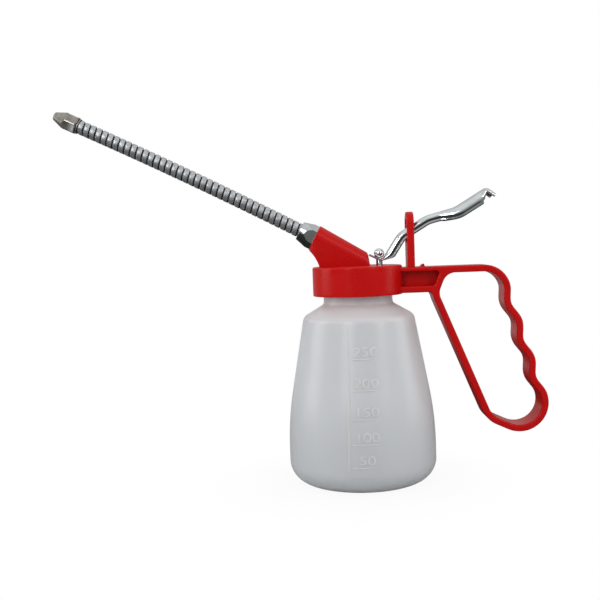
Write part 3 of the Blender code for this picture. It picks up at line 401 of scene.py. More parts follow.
def make_milky():
    tree, shader, place = new_finish("milky_polyethylene")
    height = coordinate(tree, place, "Z")
    cloud = patches(tree, stretched(tree, place, (1.0, 1.0, 0.6)), 28.0, 2.0,
                    (0.545, 0.560, 0.576), (0.580, 0.602, 0.620))
    # Painted shade: the colour is darker towards the base, near the floor.
    painted_base_shade = ranged(tree, height, 1.0, 0.0, 0.0, 0.05)
    lower = two_tones(tree, painted_base_shade, cloud, (0.525, 0.545, 0.565))
    # Painted light: lighter and warmer in the neck, for the red cap's glow through the wall and
    # against the cap's shadow.
    painted_neck_light = ranged(tree, height, 0.0, 1.0, 0.076, 0.090)
    glow = two_tones(tree, painted_neck_light, lower, (0.610, 0.572, 0.580))
    grain = noise(tree, place, 900.0, 2.0)
    waves = noise(tree, stretched(tree, place, (1.0, 1.0, 0.25)), 90.0, 2.0)
    wavy = bumped(tree, shader, waves, 0.25 * MM, 0.25)
    bumped(tree, shader, grain, 0.015 * MM, 0.25, wavy)
    feed(tree, shader, {
        "Base Color": glow, "Roughness": ranged(tree, grain, 0.29, 0.33),
        "Sheen Weight": 0.25, "Sheen Roughness": 0.4,
        "Subsurface Weight": 0.35, "Subsurface Radius": EVEN, "Subsurface Scale": 0.003,
        "Specular IOR Level": 0.5, "IOR": 1.5})


make_milky()


# %% Finish: raised marks, painted paler as a highlight
def make_highlight_marks():
    tree, shader, place = new_finish("marks_painted_highlight")
    feed(tree, shader, {
        "Base Color": patches(tree, place, 200.0, 2.0, (0.640, 0.650, 0.655),
                              (0.690, 0.700, 0.705)),
        "Roughness": ranged(tree, noise(tree, place, 900.0), 0.40, 0.50),
        "Subsurface Weight": 0.5, "Subsurface Radius": EVEN, "Subsurface Scale": 0.002,
        "Specular IOR Level": 0.4})


make_highlight_marks()

# %% [markdown]
# ### Red plastic
#
# The head is one glossy moulding of red polypropylene. Its gloss is not perfect: the
# mould leaves a faint orange peel, and handling softens the shine in patches. A coat
# layer would look like paint, so the shine stays in the plastic itself.

# %% Finish: red plastic
def make_red():
    tree, shader, place = new_finish("red_plastic")
    bumped(tree, shader, noise(tree, place, 420.0, 2.0), 0.02 * MM, 0.3)
    feed(tree, shader, {
        "Base Color": patches(tree, place, 45.0, 2.0, (0.470, 0.0020, 0.0020),
                              (0.520, 0.0035, 0.0032)),
        "Roughness": ranged(tree, noise(tree, place, 130.0), 0.24, 0.34),
        "Specular IOR Level": 0.18, "IOR": 1.49})


make_red()

# %% [markdown]
# ### Chrome, steel and nickel
#
# The metals differ in how far they spread a reflection. Chrome on the lever is nearly a
# mirror, and so is the bright steel of the nut. The wound band of the hose is dull, with
# a fine speckle, and the nickel on the nozzle is darker and warmer. Its corners are pale
# and dull, worn and painted pale as a highlight along each corner. For each, a fine noise
# moves the roughness, and a stretched noise makes the drawn or turned lines in the bump.
#
# `bare` is how metallic the surface looks. A dull or oily film over a metal scatters
# some light like paint, so the hose and the nozzle stay below 1.

# %% Finish: metals
def make_metal(name, dark, light, hard, soft, line_scale, line_stretch, depth,
               stain_scale=160.0, bare=1.0):
    tree, shader, place = new_finish(name)
    lines = noise(tree, stretched(tree, place, line_stretch), line_scale, 2.0)
    bumped(tree, shader, lines, depth * MM, 0.5)
    feed(tree, shader, {
        "Base Color": patches(tree, place, stain_scale, 3.0, dark, light),
        "Roughness": ranged(tree, noise(tree, place, 520.0, 4.0), hard, soft),
        "Metallic": bare})
    return tree, shader, place


TURNED_LINES = (1.0, 0.2, 0.2)
make_metal("chromed_steel", (0.64, 0.68, 0.69), (0.74, 0.78, 0.79), 0.12, 0.16,
           300.0, (0.15, 1.0, 0.4), 0.002)
make_metal("bright_steel", (0.52, 0.54, 0.54), (0.60, 0.62, 0.62), 0.15, 0.19,
           900.0, (0.5, 0.5, 0.5), 0.001)
make_metal("wound_steel", (0.38, 0.395, 0.41), (0.58, 0.60, 0.62), 0.40, 0.46,
           700.0, (0.6, 1.0, 0.6), 0.001, stain_scale=700.0, bare=0.78)
nickel = make_metal("nickel_plate", (0.20, 0.188, 0.162), (0.36, 0.342, 0.305), 0.26, 0.34,
                    900.0, TURNED_LINES, 0.001, stain_scale=400.0, bare=0.7)
# Pale corners of the nozzle: worn, and a painted highlight along each corner.
make_metal("worn_highlit_nickel", (0.78, 0.77, 0.74), (0.86, 0.85, 0.83), 0.38, 0.44,
           900.0, TURNED_LINES, 0.001, stain_scale=400.0)

# %% [markdown]
# ### Where the nozzle is painted light
#
# The nickel is painted paler under the hexagon's front corner, nearly to its end: painted
# light on the lower facet. Slanted planes bound the patch: one along the corner, two across
# it. There it also looks less metallic, so that the pale colour shows.

# %% Painted light on the nickel
CORNER_ALONG = (0.900, -0.437)         # the corner's direction, in X and Z
CORNER_UP = (0.437, 0.900)             # square to it


def slanted(tree, place, direction):
    across = maths(tree, "MULTIPLY", coordinate(tree, place, "X"), direction[0])
    upright = maths(tree, "MULTIPLY", coordinate(tree, place, "Z"), direction[1])
    return maths(tree, "ADD", across, upright)


# Painted light: a pale patch on the nozzle's lower facet.
def paint_facet_light(tree, shader, place):
    along = slanted(tree, place, CORNER_ALONG)
    below = ranged(tree, slanted(tree, place, CORNER_UP), 1.0, 0.0, 0.1023, 0.1029)
    behind = ranged(tree, along, 0.0, 1.0, -0.2040, -0.2015)
    before = ranged(tree, along, 1.0, 0.0, -0.2008, -0.2004)
    painted_light_patch = maths(tree, "MULTIPLY", below, maths(tree, "MULTIPLY", behind, before))
    plated = shader.inputs["Base Color"].links[0].from_socket
    feed(tree, shader, {
        "Base Color": two_tones(tree, painted_light_patch, plated, (0.54, 0.57, 0.60)),
        "Metallic": ranged(tree, painted_light_patch, 0.7, 0.3, 0.0, 1.0)})


paint_facet_light(*nickel)

# %% [markdown]
# ### Painted shade in the grooves
#
# The narrow gaps between the turns of the hose and the groove of the ring are painted
# nearly black: painted shade in the grooves. Those faces get a finish of their own: dark,
# dull and uneven.

# %% Finish: painted shade in the grooves
def make_groove_shade():
    tree, shader, place = new_finish("groove_painted_shade")
    bumped(tree, shader, noise(tree, place, 2000.0), 0.01 * MM, 0.4)
    feed(tree, shader, {
        "Base Color": patches(tree, place, 350.0, 3.0, (0.018, 0.018, 0.018),
                              (0.075, 0.075, 0.078)),
        "Roughness": ranged(tree, noise(tree, place, 900.0), 0.45, 0.7),
        "Metallic": 0.4})


make_groove_shade()

# %% [markdown]
# ### Rubber and white plastic
#
# Seals and washers are black rubber, dull and finely grained. The pump's own tubes and
# the liner are white plastic. Both are mostly hidden, but they show when the head is
# lifted out of the bottle.

# %% Finish: rubber and white plastic
def make_dull(name, dark, light, hard, soft, grain_scale, waxy=0.0):
    tree, shader, place = new_finish(name)
    grain = noise(tree, place, grain_scale)
    bumped(tree, shader, grain, 0.02 * MM, 0.5)
    feed(tree, shader, {
        "Base Color": patches(tree, place, 200.0, 3.0, dark, light),
        "Roughness": ranged(tree, grain, hard, soft),
        "Subsurface Weight": waxy, "Subsurface Scale": 0.002})


make_dull("black_rubber", (0.020, 0.020, 0.021), (0.042, 0.041, 0.040), 0.60, 0.80, 1500.0)
make_dull("white_plastic", (0.74, 0.74, 0.71), (0.82, 0.82, 0.79), 0.34, 0.48, 900.0, 0.2)
print("finishes:", sorted(finishes))

# %% [markdown]
# ## The bottle
#
# The bottle is blown into a mould: a round heel, a short upright wall, a long taper, a
# rounded shoulder, a short neck and the threaded finish that the cap screws on. It is a
# lathe outline, spun once, and its wall gets its thickness from Solidify, which is what
# blowing does: an outer form with an even wall inside it.

# %% Bottle outline
BODY_RADIUS = 36.35
WALL = 1.1
HEEL_RADIUS = 11.0
SHOULDER_RADIUS, SHOULDER_Z = 27.3, 82.0
NECK_RADIUS, NECK_START_Z, NECK_END_Z = 17.0, 88.1, 92.8
FINISH_RADIUS, FINISH_TOP_Z = 18.2, 102.7       # the part with the thread
STRAIGHT_Z = 18.0
TAPER_BLEND = 26.8
TAPER_SLOPE = (BODY_RADIUS - SHOULDER_RADIUS) / (SHOULDER_Z - STRAIGHT_Z - TAPER_BLEND / 2)


def bottle_radius(z):
    """Millimetres in, millimetres out: heel, upright wall, then a curve, then a taper."""
    rise = z - STRAIGHT_Z
    if z < HEEL_RADIUS:
        reach = math.sqrt(max(HEEL_RADIUS ** 2 - (HEEL_RADIUS - z) ** 2, 0.0))
        return BODY_RADIUS - HEEL_RADIUS + reach
    if rise <= 0.0:
        return BODY_RADIUS
    if rise < TAPER_BLEND:
        return BODY_RADIUS - TAPER_SLOPE * rise * rise / (2 * TAPER_BLEND)
    return BODY_RADIUS - TAPER_SLOPE * (rise - TAPER_BLEND / 2)


def bottle_corners():
    corners = [(FINISH_RADIUS, FINISH_TOP_Z, 0.0), (FINISH_RADIUS, NECK_END_Z + 0.9, 0.0),
               (NECK_RADIUS, NECK_END_Z, 0.3), (NECK_RADIUS, NECK_START_Z, 1.1),
               (SHOULDER_RADIUS, SHOULDER_Z, 1.9)]
    rows, taper_top = 22, 79.0
    for i in range(rows, -1, -1):
        z = STRAIGHT_Z + (taper_top - STRAIGHT_Z) * i / rows
        corners.append((bottle_radius(z), z, 0.0))
    steps = 24
    for i in range(steps + 1):
        turn = math.pi / 2 * i / steps
        corners.append((BODY_RADIUS - HEEL_RADIUS + HEEL_RADIUS * math.cos(turn),
                        HEEL_RADIUS - HEEL_RADIUS * math.sin(turn), 0.0))
    foot_ring = [(21.5, 0.0, 0.5), (20.0, 0.9, 0.5), (0.0, 0.9, 0.0)]
    return corners + foot_ring


bottle = turned("bottle_wall", bottle_corners(), 128, closed=False, sharp=60.0)
wall = bottle.modifiers.new("wall", "SOLIDIFY")
wall.thickness = WALL * MM
wall.offset = -1.0
wall.use_even_offset = True
fit(bottle, "bottle", "milky_polyethylene", "bottle")

# %% [markdown]
# ### Screw thread on the neck
#
# A thread is a small ridge that climbs as it goes round. spin does both at once: it turns
# a profile round the axis and, with dvec, lifts it a little at each step. The ridge is
# hidden until the head is lifted out of the bottle.

# %% Neck thread
THREAD_PITCH, THREAD_TURNS, THREAD_PROUD = 3.2, 2, 0.30


def wound(form, geometry, pitch, turns, steps):
    """Winds geometry up round the Z axis, with so many steps to a turn."""
    return bmesh.ops.spin(form, geom=geometry, cent=(0.0, 0.0, 0.0), axis=(0.0, 0.0, 1.0),
                          dvec=(0.0, 0.0, pitch * MM / steps), angle=2 * math.pi * turns,
                          steps=turns * steps, use_merge=False, use_duplicate=False)


def thread(name, radius, foot_z, inward=False):
    form = bmesh.new()
    way = -1.0 if inward else 1.0
    root, crest = radius - 0.1 * way, radius + THREAD_PROUD * way
    outline = [(root, -0.75), (crest, -0.25), (crest, 0.25), (root, 0.75)]
    verts = [form.verts.new((r * MM, 0.0, (foot_z + z) * MM)) for r, z in outline]
    face = form.faces.new(verts)
    wound(form, [face] + face.edges[:] + verts, THREAD_PITCH, THREAD_TURNS, 72)
    return piece_from(form, name, 30.0)


fit(thread("bottle_thread", FINISH_RADIUS, 94.9), "bottle", "milky_polyethylene")

# %% [markdown]
# ### Graduations
#
# The mould leaves a raised scale on the wall: five short lines with the millilitres above
# them. Text in Blender is a curve. It is made a mesh first, flat and a little thick, and
# its digits are stretched sideways, because the mould's digits are wide. Then each of its
# points is wrapped round the bottle, so that the numbers follow the taper. They stand
# 0.16 mm proud, and their front edges are rounded.

# %% Numbers and lines wrapped on the wall
MARK_PROUD = 0.16
BURIED = 0.35                   # from the raised face to the middle of a mark's depth


def wrapped(form, proud):
    """Flat x and z become angle and height, and y is the depth behind the raised face."""
    for vert in form.verts:
        across, depth, height = vert.co
        radius = bottle_radius(height / MM) * MM
        out = radius + proud * MM - depth
        turn = -math.pi / 2 + across / radius
        vert.co = (out * math.cos(turn), out * math.sin(turn), height)
    return form


# Every raised mark takes the pale finish, a painted highlight.
def raised(form, name, proud):
    piece = piece_from(wrapped(form, proud), name, 50.0)
    return fit(piece, "bottle", "marks_painted_highlight", slot="milky_polyethylene")


DIGIT_HEIGHT, DIGIT_STRETCH, DIGIT_SPACING = 6.2, 1.36, 0.92


def number_mesh(words, centre_x, foot_z):
    curve = bpy.data.curves.new("number", "FONT")
    curve.body = words
    curve.size = DIGIT_HEIGHT * MM
    curve.align_x = "CENTER"
    curve.extrude = 0.25 * MM
    curve.bevel_depth = 0.10 * MM
    curve.bevel_resolution = 1
    curve.offset = -0.06 * MM
    curve.space_character = DIGIT_SPACING
    curve.resolution_u = 4
    form = form_from_curve(curve, DOUBLED)
    for vert in form.verts:
        across, up, depth = vert.co
        vert.co = (across * DIGIT_STRETCH + centre_x * MM, BURIED * MM - depth, up + foot_z * MM)
    return form


def ridge_mesh(low, high, rounding, cuts):
    """A ridge between two (x, z) corners, cut into short lengths so that it can bend."""
    form = bmesh.new()
    block(form, (low[0], 0.0, low[1]), (high[0], 2 * BURIED, high[1]))
    front = [edge for edge in form.edges if all(vert.co.y < 0.001 * MM for vert in edge.verts)]
    round_edges(form, front, rounding, 2)
    narrow, wide = sorted((high[0] - low[0], high[1] - low[1]))
    lengthwise = [edge for edge in form.edges if edge.calc_length() > (narrow + wide) / 2 * MM]
    bmesh.ops.subdivide_edges(form, edges=lengthwise, cuts=cuts, use_grid_fill=True)
    return form


SCALE = (                       # number, height of its line, the line's ends, digits' centre
    ("250", 63.7, -5.1, 2.8, 1.1),
    ("200", 49.4, -5.4, 4.6, 1.0),
    ("150", 36.3, -6.0, 5.4, 0.8),
    ("100", 24.8, -6.3, 5.6, 0.6),
    ("50", 14.1, -6.4, 4.1, 0.4),
)
LINE_WIDTH, LINE_TO_DIGITS = 0.55, 1.3
for words, z, left, right, centre in SCALE:
    line = ridge_mesh((left, z - LINE_WIDTH / 2), (right, z + LINE_WIDTH / 2), 0.12, 14)
    raised(line, f"graduation_line_{words}", MARK_PROUD)
    raised(number_mesh(words, centre, z + LINE_TO_DIGITS), f"graduation_{words}", MARK_PROUD)

# %% [markdown]
# ### Mould seam
#
# The two halves of the blow mould meet in a line up the wall. It is a thin ridge, made
# like the graduation lines but upright, and it leans a little.

# %% Mould seam
SEAM_FOOT_Z, SEAM_TOP_Z = 12.0, 80.0
SEAM_WIDTH, SEAM_TOP_X, SEAM_LEAN, SEAM_PROUD = 0.9, -6.75, 0.0226, 0.03


def seam_mesh():
    half = SEAM_WIDTH / 2
    form = ridge_mesh((-half, SEAM_FOOT_Z), (half, SEAM_TOP_Z), 0.06, 60)
    for vert in form.verts:
        vert.co.x += SEAM_TOP_X * MM - SEAM_LEAN * (SEAM_TOP_Z * MM - vert.co.z)
    return form


# The seam takes the marks' finish, painted pale as a highlight along the ridge.
raised(seam_mesh(), "bottle_seam", SEAM_PROUD)

# %% [markdown]
# ## The head
#
# The red head is one moulding on the real can. It is easier to make and to keep smooth as
# a few forms that run into each other: the cap with the pump's spigot and the rib under
# its ceiling, the spout boss, the arm with the finger loop, the web in the arm, the post
# that guides the lever, and a small wedge behind it. They share one finish, and where
# they meet the moulding has no seam either.
#
# ### Cap and spigot
#
# The cap is a skin over rings. It starts at the cap's foot, climbs the outside, rounds
# the top edge, and then the rings change their centre to the pump's axis: down the gland
# pocket and the rod's hole, out round the spigot, and back along the ceiling and the bore.

# %% Cap
CAP_TOP_Z = 106.5
PUMP_X = 11.1
THREAD_BORE = 18.9


def red(form, name, *nodes):
    """A piece of the red moulding, with its flats kept flat."""
    return fit(keep_flats_flat(piece_from(form, name, 35.0)), "head", "red_plastic", *nodes)


def quarter(radius_at, z_at, rounding, start, end, count=5):
    """(radius, z) stations round a corner whose centre is given, in millimetres."""
    made = []
    for i in range(count + 1):
        turn = start + (end - start) * i / count
        made.append((radius_at + rounding * math.cos(turn), z_at + rounding * math.sin(turn)))
    return made


def cap_form():
    outside = [(21.75, 92.2), (21.95, 92.28), (22.1, 92.5), (22.1, 94.0), (22.1, 104.0)]
    outside += quarter(21.2, 105.6, 0.9, 0.0, math.pi / 2)
    outside += [(20.0, CAP_TOP_Z)]
    gland_and_spigot = [
        (3.6, CAP_TOP_Z), (3.4, 106.44), (3.2, 106.3), (3.2, 103.6), (1.9, 103.6),
        (1.9, 102.1), (2.5, 102.1), (2.5, 93.7), (2.7, 93.5), (3.4, 93.5), (3.6, 93.7),
        (3.6, 103.7), (4.2, 104.3)]
    inside = [(18.2, 104.3), (THREAD_BORE, 103.6), (THREAD_BORE, 92.6), (19.3, 92.2)]
    rings = flat_rings(outside) + flat_rings(gland_and_spigot, PUMP_X) + flat_rings(inside)
    form = bmesh.new()
    ringed(form, rings, 128, closed=True)
    return form


def passage_rib_form():
    """The thick rib under the cap's ceiling that carries the oil's way to the spout."""
    form = bmesh.new()
    foot_z = 99.5
    block(form, (-4.4, -2.3, foot_z), (8.8, 2.3, 105.0))
    lower = [edge for edge in form.edges
             if any(vert.co.z < (foot_z + 0.5) * MM for vert in edge.verts)]
    round_edges(form, lower, 0.5, 3)
    return form


red(cap_form(), "head_cap", "pump_head")
red(passage_rib_form(), "head_passage_rib")
fit(thread("head_thread", THREAD_BORE, 94.5, inward=True), "head", "red_plastic")

# %% [markdown]
# ### Spout boss
#
# The boss is a tapered tube that points up at the spout's angle. Its flanks run down to
# the cap, and below its mouth the front is hollow. convex_hull draws the tightest skin
# over the mouth, the rear end and the foot, which gives the flat flanks. Rings are then
# laid on that skin by casting rays at it from the tube's axis, each ring in its own
# tilted plane, and stopped at the hollow front. More rings make the bore for the nut.

# %% Boss: its lines in the XZ plane
BOSS_ANGLE = math.radians(28.5)
BOSS_AXIS = Vector((-math.cos(BOSS_ANGLE), math.sin(BOSS_ANGLE)))
BOSS_UP = Vector((math.sin(BOSS_ANGLE), math.cos(BOSS_ANGLE)))
MOUTH = Vector((-20.6, 121.0))
MOUTH_RADIUS, REAR_RADIUS, BOSS_LENGTH = 6.6, 4.8, 34.0
NUT_BORE, NUT_BORE_DEPTH = 4.7, 9.3
LIP = MOUTH - BOSS_UP * MOUTH_RADIUS
FOOT = Vector((-18.6, CAP_TOP_Z))
FOOT_HALF_WIDTH = 5.9
FRONT_CURVE = 18.0
REAR_FOOT_X, REAR_LEAN = 6.28, math.radians(8.0)
SUNK_Z = 105.3                  # the boss ends inside the cap's top


def leaning(spot, angle):
    """From the Z axis to a point of the XZ plane, with the spout's lean there."""
    turn = Matrix.Rotation(angle - math.pi / 2, 4, "Y")
    return Matrix.Translation((spot.x, 0.0, spot.y)) @ turn


def front_point(share):
    """A point on the hollow front, from the mouth's lower lip to the cap."""
    run = FOOT - LIP
    ahead = math.sqrt(FRONT_CURVE ** 2 - (run.length / 2) ** 2)
    centre = LIP + run / 2 + Vector((run.y, -run.x)).normalized() * ahead
    start = math.atan2(LIP.y - centre.y, LIP.x - centre.x)
    end = math.atan2(FOOT.y - centre.y, FOOT.x - centre.x)
    turn = start + (end - start) * share
    return centre + Vector((math.cos(turn), math.sin(turn))) * FRONT_CURVE


# %% Boss: the tightest skin
def boss_hull():
    """Over the mouth, the rear end and four points of the foot, in millimetres."""
    form = bmesh.new()
    rear = MOUTH - BOSS_AXIS * BOSS_LENGTH
    for spot, radius in ((MOUTH, MOUTH_RADIUS), (rear, REAR_RADIUS)):
        bmesh.ops.create_circle(form, segments=360, radius=radius,
                                matrix=leaning(spot, BOSS_ANGLE))
    for x, half_width in ((FOOT.x - 0.8, FOOT_HALF_WIDTH), (rear.x, REAR_RADIUS)):
        for side in (-1, 1):
            bmesh.ops.create_vert(form, co=(x, side * half_width, 104.0))
    bmesh.ops.convex_hull(form, input=form.verts)
    tree = BVHTree.FromBMesh(form)
    form.free()
    return tree


HULL = boss_hull()


def hull_reach(middle, up, angle):
    """Distance from the ring's middle to the hull, at an angle from the ring's up."""
    way = Vector((up.x * math.cos(angle), math.sin(angle), up.y * math.cos(angle)))
    return HULL.ray_cast(Vector((middle.x, 0.0, middle.y)), way)[3]


# %% Boss: its rings
def boss_ring(back, bottom):
    """A ring on the hull, in the plane from the bottom point up through the tube's axis."""
    middle = MOUTH - BOSS_AXIS * back
    up = (middle - bottom).normalized()
    drop = (middle - bottom).length
    low, high = math.pi / 2, math.pi
    for _ in range(30):
        angle = (low + high) / 2
        if -math.cos(angle) * hull_reach(middle, up, angle) < drop:
            low = angle
        else:
            high = angle
    corner = low

    def place(unit):
        """The upper half turns evenly; the flank and the cut-off foot share the rest."""
        angle = math.atan2(abs(unit.x), unit.y)
        side = math.copysign(1.0, unit.x)
        flank_end = math.pi * 5 / 6
        if angle <= math.pi / 2:
            turn = angle
        elif angle <= flank_end:
            share = (angle - math.pi / 2) / (flank_end - math.pi / 2)
            turn = math.pi / 2 + (corner - math.pi / 2) * share
        else:
            turn = corner + (math.pi - corner) * (angle - flank_end) / (math.pi - flank_end)
        reach = hull_reach(middle, up, turn)
        if turn > math.pi / 2:
            reach = min(reach, drop / -math.cos(turn))
        spot = middle + up * (math.cos(turn) * reach)
        return Vector((spot.x, side * math.sin(turn) * reach, spot.y)) * MM

    return place


def tube_ring(radius, back):
    """A round ring square to the spout, for the mouth and the bore."""
    def place(unit):
        spot = MOUTH - BOSS_AXIS * back + BOSS_UP * (unit.y * radius)
        return Vector((spot.x, unit.x * radius, spot.y)) * MM
    return place


def boss_form():
    rings = [tube_ring(radius, back) for radius, back in (
        (0.2, NUT_BORE_DEPTH), (NUT_BORE, NUT_BORE_DEPTH), (NUT_BORE, 0.35), (5.05, 0.0),
        (6.1, 0.0), (6.35, 0.06), (6.52, 0.22), (6.57, 0.40))]
    front_rings, front_start, front_end = 12, 0.5, 5.1
    for i in range(1, front_rings + 1):
        share = i / front_rings
        back = front_start + (front_end - front_start) * share
        rings.append(boss_ring(back, front_point(share)))
    base_rings, base_start, base_end = 10, 5.6, 30.6
    first_x = -18.3
    last_x = REAR_FOOT_X + (CAP_TOP_Z - SUNK_Z) * math.tan(REAR_LEAN)
    for i in range(base_rings + 1):
        share = i / base_rings
        bottom = Vector((first_x + (last_x - first_x) * share, SUNK_Z))
        rings.append(boss_ring(base_start + (base_end - base_start) * share, bottom))
    form = bmesh.new()
    loops = ringed(form, rings, 144)
    for end in (loops[0], loops[-1]):
        bmesh.ops.contextual_create(form, geom=end)
    round_edges(form, loops[-1], 0.6, 4)
    return form


red(boss_form(), "head_boss")

# %% [markdown]
# ### Arm and finger loop
#
# The arm and the loop are a flat moulding of even width. The easiest exact way is a flat
# curve: its outline runs round the rim and into the arm's pocket, a second outline is the
# finger opening, and the curve's own bevel rounds every edge. The curve is made a mesh
# while it lies flat, and only then is it stood upright. A thin plate is the pocket's web.

# %% Lines in the XZ plane
def arc(centre, radius, start, end, count):
    turn = (end - start) / count
    return [Vector((centre[0] + radius * math.cos(start + turn * i),
                    centre[1] + radius * math.sin(start + turn * i))) for i in range(count + 1)]


def rounded(corners, closed, steps=10):
    """A polyline of (point, radius) corners with each corner rounded to its radius."""
    outline = []
    total = len(corners)
    for i, (here, radius) in enumerate(corners):
        if radius <= 0.0 or (not closed and i in (0, total - 1)):
            outline.append(here.copy())
            continue
        back = (corners[i - 1][0] - here).normalized()
        ahead = (corners[(i + 1) % total][0] - here).normalized()
        half = back.angle(ahead) / 2
        centre = here + (back + ahead).normalized() * (radius / math.sin(half))
        first = here + back * (radius / math.tan(half)) - centre
        swing = math.pi - 2 * half
        side = 1.0 if back.x * ahead.y - back.y * ahead.x < 0 else -1.0
        for k in range(steps + 1):
            outline.append(centre + Matrix.Rotation(side * swing * k / steps, 2) @ first)
    return outline


def left_of(way):
    return Vector((-way.y, way.x))


def offset(outline, distance):
    """The outline moved to its left-hand side."""
    moved = []
    total = len(outline)
    for i, point in enumerate(outline):
        run = (outline[(i + 1) % total] - outline[i - 1]).normalized()
        moved.append(point + left_of(run) * distance)
    return moved


def x_at(point, way, height):
    """Where the line through a point reaches a height."""
    return point.x + way.x * (height - point.y) / way.y


# %% Centre line of the loop
HANDLE_WIDTH, HANDLE_EDGE = 15.0, 0.9
STRIP = 3.3
ARM_TOP_Z, ARM_FOOT_Z = 105.1, 92.6
ARM_ROOT_X = 19.3                       # inside the cap's wall
TOP_FLANGE, FOOT_FLANGE = 2.1, 3.2
WEB_WIDTH, WEB_MARGIN = 3.0, 0.8        # the margin is buried in the flanges
KNUCKLE_X, KNUCKLE_RADIUS = 61.3, 13.0  # the corner behind the thumb
GRIP_LEAN = math.radians(17.3)
FINGERS, FINGER_PITCH, FINGER_DEPTH = 3, 19.2, 2.4
END_RADIUS, END_SWING = 14.2, math.radians(134.0)
HEEL_SHIFT, HEEL_ROUND = Vector((-14.8, -7.0)), 11.0
NEAR, BROW_X, CORNER_ROUND = Vector((37.3, 92.0)), 42.0, 8.0


def loop_centreline():
    """From the corner behind the thumb, down the finger waves and round to the arm."""
    half = STRIP / 2
    path = arc((KNUCKLE_X, ARM_TOP_Z - KNUCKLE_RADIUS), KNUCKLE_RADIUS - half,
               math.pi / 2, GRIP_LEAN, 20)
    start = path.pop()
    outward = Vector((math.cos(GRIP_LEAN), math.sin(GRIP_LEAN)))
    down = Vector((outward.y, -outward.x))
    steps = 24 * FINGERS
    for i in range(steps + 1):
        run = FINGER_PITCH * FINGERS * i / steps
        wave = (1 - math.cos(2 * math.pi * FINGERS * i / steps)) / 2
        path.append(start + down * run - outward * (FINGER_DEPTH * wave))
    end_radius = END_RADIUS - half
    centre = start + down * (FINGER_PITCH * FINGERS) - outward * end_radius
    path += arc(centre, end_radius, GRIP_LEAN, GRIP_LEAN - END_SWING, 36)[1:]
    heel = centre + HEEL_SHIFT
    brow = Vector((BROW_X, ARM_TOP_Z - half))
    corners = [(path[-1], 0.0), (heel, HEEL_ROUND), (NEAR, CORNER_ROUND),
               (brow, CORNER_ROUND), (path[0], 0.0)]
    return path + rounded(corners, False)[1:-1], heel, brow


# %% Outlines of the handle
def handle_outlines():
    half = STRIP / 2
    centreline, heel, brow = loop_centreline()
    opening = offset(centreline, -half)
    rim = offset(centreline, half)
    slant, rise = (NEAR - heel).normalized(), (brow - NEAR).normalized()
    foot_x = x_at(NEAR + left_of(slant) * half, slant, ARM_FOOT_Z)
    pocket_foot, pocket_top = ARM_FOOT_Z + FOOT_FLANGE, ARM_TOP_Z - TOP_FLANGE
    side = NEAR + left_of(rise) * half
    low_x, top_x = x_at(side, rise, pocket_foot), x_at(side, rise, pocket_top)
    last = max(i for i, point in enumerate(rim) if point.y < ARM_FOOT_Z - half)
    arm = [(*rim[last], 0.0), (foot_x, ARM_FOOT_Z, 1.6), (ARM_ROOT_X, ARM_FOOT_Z, 0.0),
           (ARM_ROOT_X, pocket_foot, 0.0), (low_x, pocket_foot, 1.2), (top_x, pocket_top, 1.2),
           (ARM_ROOT_X, pocket_top, 0.0), (ARM_ROOT_X, ARM_TOP_Z, 0.0), (*rim[0], 0.0)]
    arm = rounded([(Vector((x, z)), radius) for x, z, radius in arm], False, 5)
    web_foot, web_top = pocket_foot - WEB_MARGIN, pocket_top + WEB_MARGIN
    web = [Vector(spot) for spot in (
        (ARM_ROOT_X, web_foot), (low_x + WEB_MARGIN, web_foot),
        (top_x + WEB_MARGIN, web_top), (ARM_ROOT_X, web_top))]
    return rim[:last + 1] + arm[1:-1], opening, web


# %% Plates
def plate(name, outlines, depth, edge, smoothness=3):
    """From closed (x, z) outlines in millimetres; the first is solid, the rest are holes."""
    curve = bpy.data.curves.new(name, "CURVE")
    curve.dimensions = "2D"
    curve.fill_mode = "BOTH"
    curve.extrude = (depth / 2 - edge) * MM
    curve.bevel_depth = edge * MM
    curve.offset = -edge * MM
    curve.bevel_resolution = smoothness
    for outline in outlines:
        spline = curve.splines.new("POLY")
        spline.points.add(len(outline) - 1)
        for point, spot in zip(spline.points, outline):
            point.co = (spot.x * MM, spot.y * MM, 0.0, 1.0)
        spline.use_cyclic_u = True
    form = form_from_curve(curve, 0.003 * MM)
    upright = Matrix.Rotation(math.pi / 2, 4, "X")
    bmesh.ops.transform(form, matrix=upright, verts=form.verts)
    return form


rim, opening, web = handle_outlines()
red(plate("head_handle", [rim, opening], HANDLE_WIDTH, HANDLE_EDGE), "head_handle")
red(plate("head_web", [web], WEB_WIDTH, 0.1, 0), "head_web")

# %% [markdown]
# ### Post with the lever's eye, and the wedge
#
# The post is a round-headed plate with an eye through it, and it faces along the can. It
# is the same kind of form as the handle, so it uses the same helper, and then it is
# turned a quarter to face the lever and moved to its place on the arm. The wedge behind
# it is one more plate, with four corners.

# %% Post and wedge
POST_X, POST_WIDTH, POST_THICKNESS = 26.35, 10.6, 3.6
POST_CROWN, POST_FOOT = 25.7, -2.8      # from the cap's top
EYE_HALF, EYE_FLOOR, EYE_TOP = 3.7, 10.6, 22.2


def post_form():
    half = POST_WIDTH / 2
    head = arc((0.0, POST_CROWN - half), half, 0.0, math.pi, 28)
    post = [Vector((half, POST_FOOT))] + head + [Vector((-half, POST_FOOT))]
    eye = rounded([(Vector((EYE_HALF, EYE_FLOOR)), 2.0), (Vector((EYE_HALF, EYE_TOP)), 3.2),
                   (Vector((-EYE_HALF, EYE_TOP)), 3.2), (Vector((-EYE_HALF, EYE_FLOOR)), 2.0)],
                  True, 8)
    form = plate("head_post", [post, eye], POST_THICKNESS, 0.6)
    place = Matrix.Translation(Vector((POST_X, 0.0, CAP_TOP_Z)) * MM)
    bmesh.ops.transform(form, matrix=place @ Matrix.Rotation(math.pi / 2, 4, "Z"),
                        verts=form.verts)
    return form


